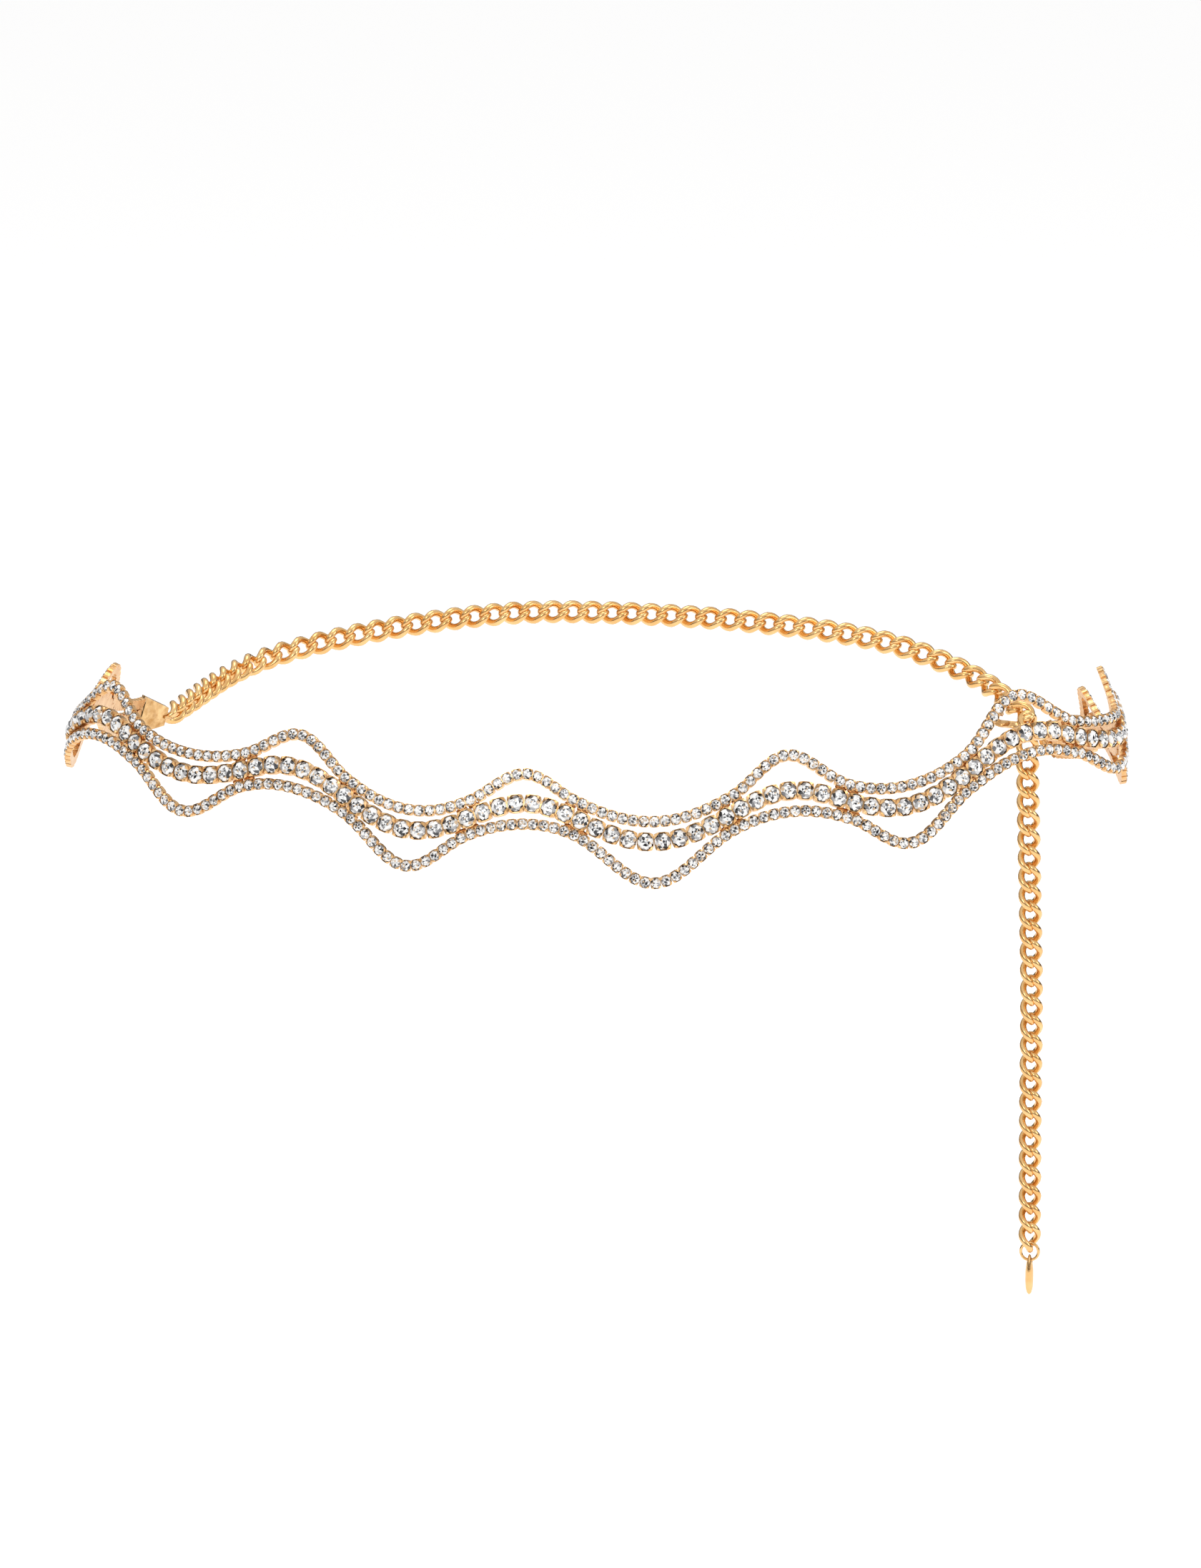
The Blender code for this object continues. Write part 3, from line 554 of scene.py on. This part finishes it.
def crystal_material():
    made = bpy.data.materials.new("cut crystal with painted reflections")
    made.use_nodes = True
    nodes, links = made.node_tree.nodes, made.node_tree.links
    shader = nodes["Principled BSDF"]
    shader.inputs["Roughness"].default_value = 0.05
    shader.inputs["Coat Weight"].default_value = 0.5
    shader.inputs["Coat Roughness"].default_value = 0.02
    # each facet's painted reflection value, shifted by the stone's own number and turned into painted white,
    # grey or dark
    tone = nodes.new("ShaderNodeAttribute")
    tone.attribute_name = "painted facet reflection"
    number = nodes.new("ShaderNodeAttribute")
    number.attribute_name = "own number"
    mixed = nodes.new("ShaderNodeMath")
    mixed.operation = "MULTIPLY_ADD"
    mixed.inputs[1].default_value = OWN_NUMBER_SPREAD
    links.new(number.outputs["Fac"], mixed.inputs[0])
    links.new(tone.outputs["Fac"], mixed.inputs[2])
    wrapped = nodes.new("ShaderNodeMath")
    wrapped.operation = "FRACT"
    links.new(mixed.outputs[0], wrapped.inputs[0])
    ramp = nodes.new("ShaderNodeValToRGB")
    ramp.color_ramp.interpolation = "CONSTANT"
    fill_ramp(ramp.color_ramp, PAINTED_REFLECTION_TONES)
    links.new(wrapped.outputs[0], ramp.inputs["Fac"])
    links.new(ramp.outputs["Color"], shader.inputs["Base Color"])
    return made


crystal = crystal_material()
print("crystal with", len(PAINTED_REFLECTION_TONES), "tones")

# %% [markdown]
# ## A cut stone
# A round brilliant has an eight-sided table, eight small star facets round it, eight kite facets and
# sixteen facets that meet the girdle. It is built corner by corner here, because each facet has to be
# flat. The table is divided into wedges that only differ in their painted reflection value: they are
# painted reflections of the far side's facets, which one sees through it. Below the girdle the stone is
# closed flat, hidden in its cup. The small stones are set by the hundred, so they do without the inner star.

# %% Stone model
STONE_SHARE = 0.95
TABLE_SHARE = 0.56
STAR_SHARE = 0.78
STAR_RISE = 0.58


def stone_model(name, setting, girdle, crown, seed, heart_share=0.27):
    """girdle: the girdle's level above the setting's middle. crown: its height above that.
    heart_share: size of the inner star of painted reflection wedges in the table, or 0 for plain wedges."""
    radius = STONE_SHARE * setting / 2
    chance = random.Random(seed)
    bm = bmesh.new()
    # every facet gets a random painted reflection value, which the crystal's ramp turns into painted white,
    # grey or dark
    tone = bm.faces.layers.float.new("painted facet reflection")

    def corner(share, eighths, height):
        turn = eighths * math.pi / 4
        return bm.verts.new((radius * share * math.cos(turn), radius * share * math.sin(turn), height))

    def facet(corners):
        bm.faces.new(corners)[tone] = chance.random()

    top = girdle + crown
    centre = corner(0.0, 0, top)
    heart = [corner(heart_share, at + 0.25, top) for at in range(8)] if heart_share else None
    table = [corner(TABLE_SHARE, at, top) for at in range(8)]
    star = [corner(STAR_SHARE, at + 0.5, girdle + STAR_RISE * crown) for at in range(8)]
    edge = [corner(1.0, at / 2, girdle) for at in range(16)]
    for at in range(8):
        after = (at + 1) % 8
        if heart:
            facet((centre, heart[at], heart[after]))
            facet((heart[at], table[at], table[after]))
            facet((heart[at], table[after], heart[after]))
        else:
            facet((centre, table[at], table[after]))
        facet((table[at], star[at], table[after]))
        facet((table[at], star[at - 1], edge[2 * at], star[at]))
        facet((star[at], edge[2 * at], edge[2 * at + 1]))
        facet((star[at], edge[2 * at + 1], edge[(2 * at + 2) % 16]))
    facet(list(reversed(edge)))
    return model_piece(name, bm)


# %% [markdown]
# ## A cup
# Cup chain is punched from strip: each cup is a low, nearly square box with a floor, its rim dips
# between four corner claws, and the claws are pressed over the stone. The rim and walls are four rings
# of one loft, whose squareness comes from a superellipse. Fifty faces are enough for a shape that is
# set by the hundred.

# %% Cup model
CUP_SIDES = 16
CUP_SQUARENESS = 5
GAP_SHARE = 0.985
STRIP_SHARE = 1.08
LIP_SHARE = 0.93
WALL_SHARE = 0.90
CLAW_FOOT = 0.6
CLAW_REACH = 0.22
WELL_DEPTH = 0.35
WELL_PINCH = 0.15


def cup_model(name, setting, back, rim, claw):
    """back and rim: levels of the floor's back and of the rim. claw: how far a claw rises above it."""
    half = setting / 2
    bm = bmesh.new()

    def ring(share, level, lift=0.0, pinch=0.0):
        made = []
        for step in range(CUP_SIDES):
            turn = 2 * math.pi * step / CUP_SIDES
            across, up = math.cos(turn), math.sin(turn)
            reach = (abs(across) ** CUP_SQUARENESS + abs(up) ** CUP_SQUARENESS) ** (-1 / CUP_SQUARENESS)
            at_claw = 1.0 if step % 4 == 2 else 0.0
            spread = half * reach * share * (1 - pinch * at_claw)
            corner = (GAP_SHARE * spread * across, STRIP_SHARE * spread * up, level + lift * at_claw)
            made.append(bm.verts.new(corner))
        return made

    rings = [
        ring(1.0, back), ring(1.0, rim, CLAW_FOOT * claw), ring(LIP_SHARE, rim, claw, CLAW_REACH),
        ring(WALL_SHARE, back + WELL_DEPTH * (rim - back), pinch=WELL_PINCH),
    ]
    join_rings(bm, rings)
    bm.faces.new(rings[0])
    bm.faces.new(rings[-1])
    return model_piece(name, bm)


large_cup = cup_model("large cup", LARGE_SETTING, back=-0.00110, rim=0.00070, claw=0.00055)
small_cup = cup_model("small cup", SMALL_SETTING, back=-0.00100, rim=0.00035, claw=0.00036)
large_stone = stone_model("large stone", LARGE_SETTING, girdle=0.00060, crown=0.00095, seed=11)
small_stone = stone_model("small stone", SMALL_SETTING, girdle=0.00030, crown=0.00062, seed=23, heart_share=0)
print("models: two cups, two stones")

# %% [markdown]
# ## The three strands
# Each strand is one row of cups and one row of stones on the same points, so a stone sits in its cup
# by construction, with its edge about 0.1 mm inside the wall. The stones get a loose turn, because
# nobody lines up facets when setting them. Where strands meet, their cups cut into each other a little.

# %% Strands
strands = {}
for strand, frames, cup, stone, seed in (
    ("upper", upper_frames, small_cup, small_stone, 3),
    ("middle", middle_frames, large_cup, large_stone, 5),
    ("lower", lower_frames, small_cup, small_stone, 7),
):
    cups = row_of(strand + "_cups", frames, cup, cup_gold)
    stones = row_of(strand + "_stones", frames, stone, crystal, loose_turn=math.pi, seed=seed)
    strands[strand] = (cups, stones)
for strand, (cups, stones) in strands.items():
    for piece in (cups, stones):
        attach(piece, "root")
        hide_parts(strand + "_strand")

# %% [markdown]
# ## Solder where the strands meet
# At each node the three strands are tacked together with a bead of solder behind the cups. A squashed
# ball that dips into both neighbours is enough, since only a little of it shows between the stones; its
# darker orange gold there is painted shade.

# %% Solder beads
BEAD_RADII = (0.001625, 0.0006875, 0.0005625)
BEAD_SHIFT = 0.0016
BEAD_SHARE = 0.62
BEAD_DEPTH = 0.0004


def solder_frames():
    """Two beads at each meeting for each outer strand, between it and the middle one."""
    frames = []
    step = 0.001
    for way in STARTS[1:-1]:
        out = sheet_normal(way, belt_height(way))
        for other in ("upper", "lower"):
            along = (strand_point(other, way + step) - strand_point(other, way - step)).normalized()
            for shift in (-BEAD_SHIFT, BEAD_SHIFT):
                middle, outer = strand_point("middle", way + shift), strand_point(other, way + shift)
                frames.append((middle.lerp(outer, BEAD_SHARE) - out * BEAD_DEPTH, along, out))
    return frames


ball = bmesh.new()
bmesh.ops.create_icosphere(ball, subdivisions=2, radius=1.0)
for vertex in ball.verts:
    vertex.co = Vector(vertex.co[axis] * BEAD_RADII[axis] for axis in range(3))
# the beads wear the solder gold whose darker orange is painted shade between the stones
solder = row_of("solder_beads", solder_frames(), model_piece("bead", ball, smooth=True), solder_painted_shade_gold)
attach(solder, "root")

# %% [markdown]
# ## A curb link
# A real curb link is a wire oval whose two ends are twisted opposite ways, so that it passes through
# its neighbours and still lies flat. A round wire is swept round that oval. Its section is carried from
# step to step without turning, and what is left over when it comes round is shared out, so that the
# wire stays smooth. Only one link is modelled; the tree sets it once for each link of a chain. It is
# shown with slightly thicker wire and a harder twist than the solids have, for narrower openings with
# a point. The price is that neighbouring links sink about 0.65 mm into each other. The solids' twist
# of 57 degrees and wire of 1.8 mm would sink 0.17 mm, and are the better start for a closer model.

# %% Link model
LINK_WIDTH = 0.0069
LINK_WIRE = 0.0018
LINK_TWIST = math.radians(-76)
SHOWN_WIRE = 0.0020
LINK_PLAY = 0.00005
LINK_STEPS = 32
WIRE_STEPS = 10


def link_model(name, pitch):
    """One link along X with its face towards Z. pitch: the way from one link to the next."""
    half_length = (pitch + SHOWN_WIRE) / 2 - LINK_PLAY
    half_width = (LINK_WIDTH - SHOWN_WIRE) / 2

    def wire_at(turn):
        forth = math.cos(turn)
        side, twist = half_width * math.sin(turn), LINK_TWIST * forth
        return Vector((half_length * forth, side * math.cos(twist), side * math.sin(twist)))

    bm = bmesh.new()
    rings = []
    nearby = 0.05
    turns = [2 * math.pi * step / LINK_STEPS for step in range(LINK_STEPS + 1)]
    alongs = [(wire_at(turn + nearby) - wire_at(turn - nearby)).normalized() for turn in turns]
    spokes = [alongs[0].orthogonal().normalized()]
    for before, along in zip(alongs, alongs[1:]):
        spokes.append(before.rotation_difference(along) @ spokes[-1])
    left_over = math.atan2(alongs[0].dot(spokes[-1].cross(spokes[0])), spokes[-1].dot(spokes[0]))
    for step in range(LINK_STEPS):
        centre, eased = wire_at(turns[step]), left_over * step / LINK_STEPS
        other = alongs[step].cross(spokes[step])
        ring = []
        for at in range(WIRE_STEPS):
            angle = 2 * math.pi * at / WIRE_STEPS + eased
            spoke = spokes[step] * math.cos(angle) + other * math.sin(angle)
            ring.append(bm.verts.new(centre + spoke * SHOWN_WIRE / 2))
        rings.append(ring)
    join_rings(bm, rings, closed=True)
    return model_piece(name, bm, smooth=True)


# %% [markdown]
# ## Where the chain runs
# The chain starts in the left plate's half ring, lies round the back a little inside the outline's
# corners, and is caught on the hook, from where the spare links hang nearly straight. The few chosen
# points are those of the solids; a smooth curve joins them and is cut into equal links. The link on
# the hook is turned away from the next one, and the two cross instead of passing through each other.

# %% Plates' ends, hook and chain lines
SETTING_DEPTH = 0.0022
LEFT_PLATE_LENGTH = 0.009
RIGHT_PLATE_LENGTH = 0.0078
PLATE_START_HEIGHT = 2 * STRAND_SPACING + SMALL_SETTING
PLATE_END_HEIGHT = 0.0052
LEFT_TURN = math.radians(-35)
LOOP_DIAMETER = 0.0042
HOOK_THICKNESS = 0.0008
LINK_BITE = 0.0007
HOOK_TURN = math.radians(38)
SEAT_SHARE = 0.64
TAIL_TURN = math.radians(28)
LINK_PITCH = 0.00567
TAIL_LINKS = 27
BACK_LINKS = 51
CHAIN_SAMPLES = 801
BACK_ROUTE = (
    {"sideways": -0.765, "forth": 0.7686, "height": -0.45},
    {"sideways": -0.531, "forth": 0.8537, "height": 0.20},
    {"sideways": -0.248, "forth": 0.8910, "height": 0.66},
    {"sideways": 0.000, "forth": 0.9016, "height": 0.65},
    {"sideways": 0.283, "forth": 0.8963, "height": 0.42},
    {"sideways": 0.531, "forth": 0.8777, "height": -0.04},
    {"sideways": 0.708, "forth": 0.8431, "height": -0.87},
)
TAIL_ROUTE = (
    {"sideways": 0.0, "backwards": 0.0, "down": 0.0},
    {"sideways": 0.0066, "backwards": 0.0131, "down": 0.230},
    {"sideways": 0.0143, "backwards": 0.0263, "down": 0.493},
    {"sideways": 0.0151, "backwards": 0.0230, "down": 0.755},
    {"sideways": 0.0175, "backwards": 0.0066, "down": 1.051},
)
LEFT_PLATE_START = STARTS[0] - CLEARANCE - SETTING_DEPTH / 2
RIGHT_PLATE_START = STARTS[-1] + CLEARANCE + SETTING_DEPTH / 4


def plate_end(way, sense):
    """The middle of a plate's end, and the direction away from the strands (sense: -1 left, 1 right)."""
    belt, step = belt_height(way), 0.0005
    centre = placed(way, belt)
    return centre, (placed(way + sense * step, belt) - centre).normalized()


def pulled_in(centre, away):
    """The left plate's end, turned about the plate's first edge as the chain pulls it in."""
    belt, half = belt_height(LEFT_PLATE_START), PLATE_START_HEIGHT / 2
    top, bottom = placed(LEFT_PLATE_START, belt + half), placed(LEFT_PLATE_START, belt - half)
    hinge, turn = (top + bottom) / 2, Matrix.Rotation(LEFT_TURN, 3, top - bottom)
    return hinge + turn @ (centre - hinge), turn @ away


left_centre, left_away = pulled_in(*plate_end(LEFT_PLATE_START - LEFT_PLATE_LENGTH, -1))
right_centre, right_away = plate_end(RIGHT_PLATE_START + RIGHT_PLATE_LENGTH, 1)
hook_away = Matrix.Rotation(HOOK_TURN, 3, "Z") @ right_away
hook_root = right_centre + Vector((0.0, 0.0, PLATE_END_HEIGHT / 2 - HOOK_THICKNESS))
hook_seat = hook_root + hook_away * (LINK_WIDTH * SEAT_SHARE)


def smooth_line(knots, places):
    """A smooth line through the knots, as many close points and how far along it each lies."""
    points = []
    for mark in np.linspace(places[0], places[-1], CHAIN_SAMPLES):
        points.append([smooth_between(places, [knot[axis] for knot in knots], mark) for axis in range(3)])
    return measured(points)


def points_at(points, lengths, marks):
    return [Vector([np.interp(mark, lengths, points[:, axis]) for axis in range(3)]) for mark in marks]


back_start = left_centre + left_away * (LOOP_DIAMETER / 2 - CLEARANCE)
back_end = hook_seat + Vector((0.0, 0.0, LINK_PITCH / 2))
back_knots = [back_start]
for row in BACK_ROUTE:
    forth = WIDEST_AT + row["forth"] * BACK_DEPTH
    back_knots.append(Vector((row["sideways"] * HALF_WIDTH, forth, row["height"] * LIE_HEIGHT)))
back_knots.append(back_end)
back_places = [0.0]
for before, after in zip(back_knots, back_knots[1:]):
    back_places.append(back_places[-1] + (after - before).length)
back_points, back_lengths = smooth_line(back_knots, back_places)
back_joints = points_at(back_points, back_lengths, np.linspace(0.0, back_lengths[-1], BACK_LINKS + 1))
back_pitch = (back_joints[1] - back_joints[0]).length
tail_start = hook_seat - Vector((0.0, 0.0, LINK_PITCH / 2))
spare_length = TAIL_LINKS * LINK_PITCH
tail_knots = []
for row in TAIL_ROUTE:
    step = Vector((row["sideways"], row["backwards"], -row["down"])) * spare_length
    tail_knots.append(tail_start + step)
tail_points, tail_lengths = smooth_line(tail_knots, [row["down"] * spare_length for row in TAIL_ROUTE])
spare_joints = points_at(tail_points, tail_lengths, [LINK_PITCH * index for index in range(TAIL_LINKS + 1)])
print("back chain", BACK_LINKS, "links of", round(1000 * back_pitch, 2), "mm")


# %% Links on the lines
def link_frames(joints, facing):
    """One frame for each pair of joints: its middle, its direction and the way its face looks."""
    frames = []
    for index, (start, end) in enumerate(zip(joints, joints[1:])):
        middle, along = (start + end) / 2, (end - start).normalized()
        out = facing(index, middle)
        frames.append((middle, along, (out - along * out.dot(along)).normalized()))
    return frames


EASED_LINKS = 5
BACK_AND_DOWN = Vector((0.0, 1.0, -0.35))


def away_from_waist(index, place):
    """Both end links follow the waist; between them the loose chain turns its faces to front and back."""
    outward = Vector((place.x / HALF_WIDTH**2, (place.y - WIDEST_AT) / BACK_DEPTH**2, 0.0)).normalized()
    eased = min(1.0, min(index, len(back_joints) - 2 - index) / EASED_LINKS)
    return outward.lerp(BACK_AND_DOWN, eased)


def slowly_turning(index, _):
    """The hanging chain faces the front at its top and turns a little on its way down."""
    return Matrix.Rotation(TAIL_TURN * index / TAIL_LINKS, 3, "Z") @ Vector((0.0, -1.0, 0.0))


def away_from_hook(*_):
    return hook_away


back_row = link_frames(back_joints, away_from_waist)
caught = link_frames([back_end, spare_joints[0]], away_from_hook)
spare = link_frames(spare_joints, slowly_turning)
back = row_of("back_curb_chain", back_row, link_model("back link", back_pitch), chain_gold)
tail = row_of("tail_curb_chain", caught + spare, link_model("tail link", LINK_PITCH), chain_gold)
for piece, node in ((back, "back_chain"), (tail, "tail_chain")):
    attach(piece, "root")
    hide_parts(node)

# %% [markdown]
# ## The jump ring
# A jump ring is one turn of round wire. The solid has sixteen straight pieces, which would show as
# flats in the polish, so the ring is swept again with more steps on the same centre and size.

# %% Jump ring
JUMP_RING_DIAMETER = 0.0061
JUMP_RING_WIRE = 0.0009
RING_TURN = math.radians(-6)
RING_STEPS = 48
RING_SIDES = 12

tail_end = spare_joints[-1]
bearing = tail_end.z - (LINK_WIRE - LINK_BITE) / 2 + LINK_WIRE / 2 + CLEARANCE + JUMP_RING_WIRE
ring_middle = Vector((tail_end.x, tail_end.y, bearing - JUMP_RING_DIAMETER / 2))
ring_side = Vector((math.cos(RING_TURN), math.sin(RING_TURN), 0.0))
ring_face = Vector((-ring_side.y, ring_side.x, 0.0))


def ring_model():
    bm = bmesh.new()
    rings = []
    for step in range(RING_STEPS):
        turn = 2 * math.pi * step / RING_STEPS
        spoke = ring_side * math.cos(turn) + Vector((0.0, 0.0, math.sin(turn)))
        centre = ring_middle + spoke * (JUMP_RING_DIAMETER - JUMP_RING_WIRE) / 2
        ring = []
        for at in range(RING_SIDES):
            angle = 2 * math.pi * at / RING_SIDES
            outward = spoke * math.cos(angle) + ring_face * math.sin(angle)
            ring.append(bm.verts.new(centre + outward * JUMP_RING_WIRE / 2))
        rings.append(ring)
    join_rings(bm, rings, closed=True)
    return model_piece("jump_ring_wire", bm, smooth=True)


ring = ring_model()
bpy.context.scene.collection.objects.link(ring)
ring.data.materials.append(chain_gold)
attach(ring, "root")
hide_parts("jump_ring")
print("jump ring", len(ring.data.polygons), "faces")

# %% [markdown]
# ## The drop
# The drop is a slender leaf cast in metal, hung edge on, so its narrow side shows. It is a loft of
# rounded sections that follow the solid's outline with more steps between, and the ring passes through
# a small eye at its top, which is cut with a Boolean before the piece is smoothed.

# %% Drop
DROP_LENGTH = 0.0124
DROP_WIDTH = 0.0050
DROP_THICKNESS = 0.0024
DROP_HOLE = 0.0016
DROP_RIM = 0.0010
DROP_STEPS = 26
DROP_SIDES = 28
EYE_SIDES = 20
SHARP_CORNER = math.radians(50)
DROP_SHAPE = (
    {"down": 0.00, "width": 0.00, "thickness": 0.00},
    {"down": 0.05, "width": 0.52, "thickness": 0.36},
    {"down": 0.20, "width": 0.80, "thickness": 0.74},
    {"down": 0.40, "width": 1.00, "thickness": 0.98},
    {"down": 0.62, "width": 0.94, "thickness": 1.00},
    {"down": 0.82, "width": 0.72, "thickness": 0.90},
    {"down": 0.95, "width": 0.40, "thickness": 0.55},
    {"down": 1.00, "width": 0.00, "thickness": 0.00},
)
hole_middle = ring_middle - Vector((0.0, 0.0, JUMP_RING_DIAMETER / 2 + CLEARANCE - DROP_HOLE / 2))
drop_top = hole_middle + Vector((0.0, 0.0, DROP_HOLE / 2 + DROP_RIM))


def drop_half(size, column, down):
    """Half of the drop's width or thickness at this share of its length."""
    downs, shares = [row["down"] for row in DROP_SHAPE], [row[column] for row in DROP_SHAPE]
    return size / 2 * float(np.interp(down, downs, shares))


def drop_model():
    bm = bmesh.new()
    tip = bm.verts.new(drop_top - Vector((0.0, 0.0, DROP_LENGTH)))
    cap = bm.verts.new(drop_top)
    rings = []
    for step in range(1, DROP_STEPS):
        down = (1 - math.cos(math.pi * step / DROP_STEPS)) / 2
        wide = ring_face * drop_half(DROP_WIDTH, "width", down)
        thick = ring_side * drop_half(DROP_THICKNESS, "thickness", down)
        centre = drop_top - Vector((0.0, 0.0, DROP_LENGTH * down))
        turns = [2 * math.pi * at / DROP_SIDES for at in range(DROP_SIDES)]
        places = [centre + wide * math.cos(turn) + thick * math.sin(turn) for turn in turns]
        rings.append([bm.verts.new(place) for place in places])
    join_rings(bm, rings)
    for at in range(DROP_SIDES):
        bm.faces.new((cap, rings[0][(at + 1) % DROP_SIDES], rings[0][at]))
        bm.faces.new((tip, rings[-1][at], rings[-1][(at + 1) % DROP_SIDES]))
    return model_piece("cast_leaf", bm)


def drilled(piece):
    """The piece with the eye bored through it, from side to side, as a plain mesh."""
    bore = bmesh.new()
    turned = Matrix((ring_face, Vector((0.0, 0.0, 1.0)), ring_side)).transposed().to_4x4()
    bmesh.ops.create_cone(
        bore, cap_ends=True, segments=EYE_SIDES, radius1=DROP_HOLE / 2, radius2=DROP_HOLE / 2,
        depth=DROP_WIDTH, matrix=Matrix.Translation(hole_middle) @ turned,
    )
    cutter = model_piece("eye bore", bore)
    for each in (piece, cutter):
        bpy.context.scene.collection.objects.link(each)
    cut = piece.modifiers.new("eye", "BOOLEAN")
    cut.operation, cut.solver, cut.object = "DIFFERENCE", "EXACT", cutter
    bpy.context.view_layer.update()
    mesh = bpy.data.meshes.new_from_object(piece.evaluated_get(bpy.context.evaluated_depsgraph_get()))
    piece.modifiers.clear()
    bpy.data.objects.remove(cutter, do_unlink=True)
    piece.data = mesh
    return piece


leaf = drilled(drop_model())
leaf.data.materials.clear()
leaf.data.materials.append(chain_gold)
for face in leaf.data.polygons:
    face.use_smooth, face.material_index = True, 0
leaf.data.set_sharp_from_angle(angle=SHARP_CORNER)
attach(leaf, "root")
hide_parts("drop")
print("drop", len(leaf.data.polygons), "faces")

# %% [markdown]
# ## Plates and hook
# The end plates and the hook have the right shapes as solids already, so they stay. The end plates get
# their finish here, and the hook keeps the material it was loaded with. Their faces are loose triangles,
# which a bump reads well enough. The cups end 0.7 to 0.8 mm short of both plates.

# %% Finish of the end plates
for node in ("left_end_plate", "right_end_plate"):
    for material_slot in frame["nodes"][node].material_slots:
        material_slot.material = plate_gold
    print(node, "wears", plate_gold.name)

# %% [markdown]
# ## Floor and light
# Jewellery is photographed in a white tent: broad soft light from everywhere, and a few darker cards
# that give the metal something to reflect. Here the world is a soft gradient that is bright above and
# dark in a band at eye level, three large lamps give the shine, and a wide pale floor closes the view.
# The floor glows a little, as paper on a light table does, so that it stays even far away.

# %% Floor
FLOOR_LEVEL = -0.40
FLOOR_HALF = 9.0

sheet = bmesh.new()
bmesh.ops.create_grid(sheet, x_segments=2, y_segments=2, size=FLOOR_HALF)
floor_mesh = bpy.data.meshes.new("floor")
sheet.to_mesh(floor_mesh)
sheet.free()
floor_mesh.transform(Matrix.Translation((0.0, 0.0, FLOOR_LEVEL)))
floor = bpy.data.objects.new("floor", floor_mesh)
bpy.context.scene.collection.objects.link(floor)
floor_white = bpy.data.materials.new("floor white")
floor_white.use_nodes = True
paper = floor_white.node_tree.nodes["Principled BSDF"]
paper.inputs["Base Color"].default_value = (0.95, 0.95, 0.95, 1.0)
paper.inputs["Roughness"].default_value = 0.9
paper.inputs["Emission Color"].default_value = (1.0, 1.0, 1.0, 1.0)
paper.inputs["Emission Strength"].default_value = 0.25
print("floor", 2 * FLOOR_HALF, "m wide at", FLOOR_LEVEL)
floor_mesh.materials.append(floor_white)

# %% World and lamps
WORLD_STRENGTH = 0.78
TENT_TONES = (
    (0.00, (0.60, 0.57, 0.54)),
    (0.47, (0.45, 0.42, 0.40)),
    (0.52, (0.10, 0.08, 0.07)),
    (0.60, (0.16, 0.14, 0.12)),
    (0.68, (0.95, 0.95, 0.95)),
    (1.00, (1.15, 1.15, 1.15)),
)
world = bpy.data.worlds.new("tent")
bpy.context.scene.world = world
world.use_nodes = True
nodes, links = world.node_tree.nodes, world.node_tree.links
sky = nodes["Background"]
direction = nodes.new("ShaderNodeTexCoord")
height = nodes.new("ShaderNodeSeparateXYZ")
links.new(direction.outputs["Generated"], height.inputs["Vector"])
shades = nodes.new("ShaderNodeValToRGB")
lift = nodes.new("ShaderNodeMapRange")
lift.inputs["From Min"].default_value = -1.0
links.new(height.outputs["Z"], lift.inputs["Value"])
links.new(lift.outputs["Result"], shades.inputs["Fac"])
fill_ramp(shades.color_ramp, TENT_TONES)
links.new(shades.outputs["Color"], sky.inputs["Color"])
sky.inputs["Strength"].default_value = WORLD_STRENGTH


BELT_MIDDLE = Vector((0.0, 0.0, -0.02))
SOFTBOXES = (
    {"name": "front box", "place": (-0.5, -2.2, 1.3), "size": 0.9, "power": 9.5},
    {"name": "side box", "place": (1.9, -0.6, 0.7), "size": 0.9, "power": 6.5},
    {"name": "top box", "place": (0.0, 0.4, 2.2), "size": 1.4, "power": 15.0},
)


def softbox(name, place, size, power):
    """A square lamp that looks at the belt. power: in watts."""
    lamp = bpy.data.lights.new(name, "AREA")
    lamp.shape, lamp.size, lamp.energy = "SQUARE", size, power
    made = bpy.data.objects.new(name, lamp)
    made.location = place
    made.rotation_mode = "QUATERNION"
    made.rotation_quaternion = (BELT_MIDDLE - Vector(place)).to_track_quat("-Z", "Y")
    bpy.context.scene.collection.objects.link(made)


for row in SOFTBOXES:
    softbox(**row)
print(len(SOFTBOXES), "softboxes")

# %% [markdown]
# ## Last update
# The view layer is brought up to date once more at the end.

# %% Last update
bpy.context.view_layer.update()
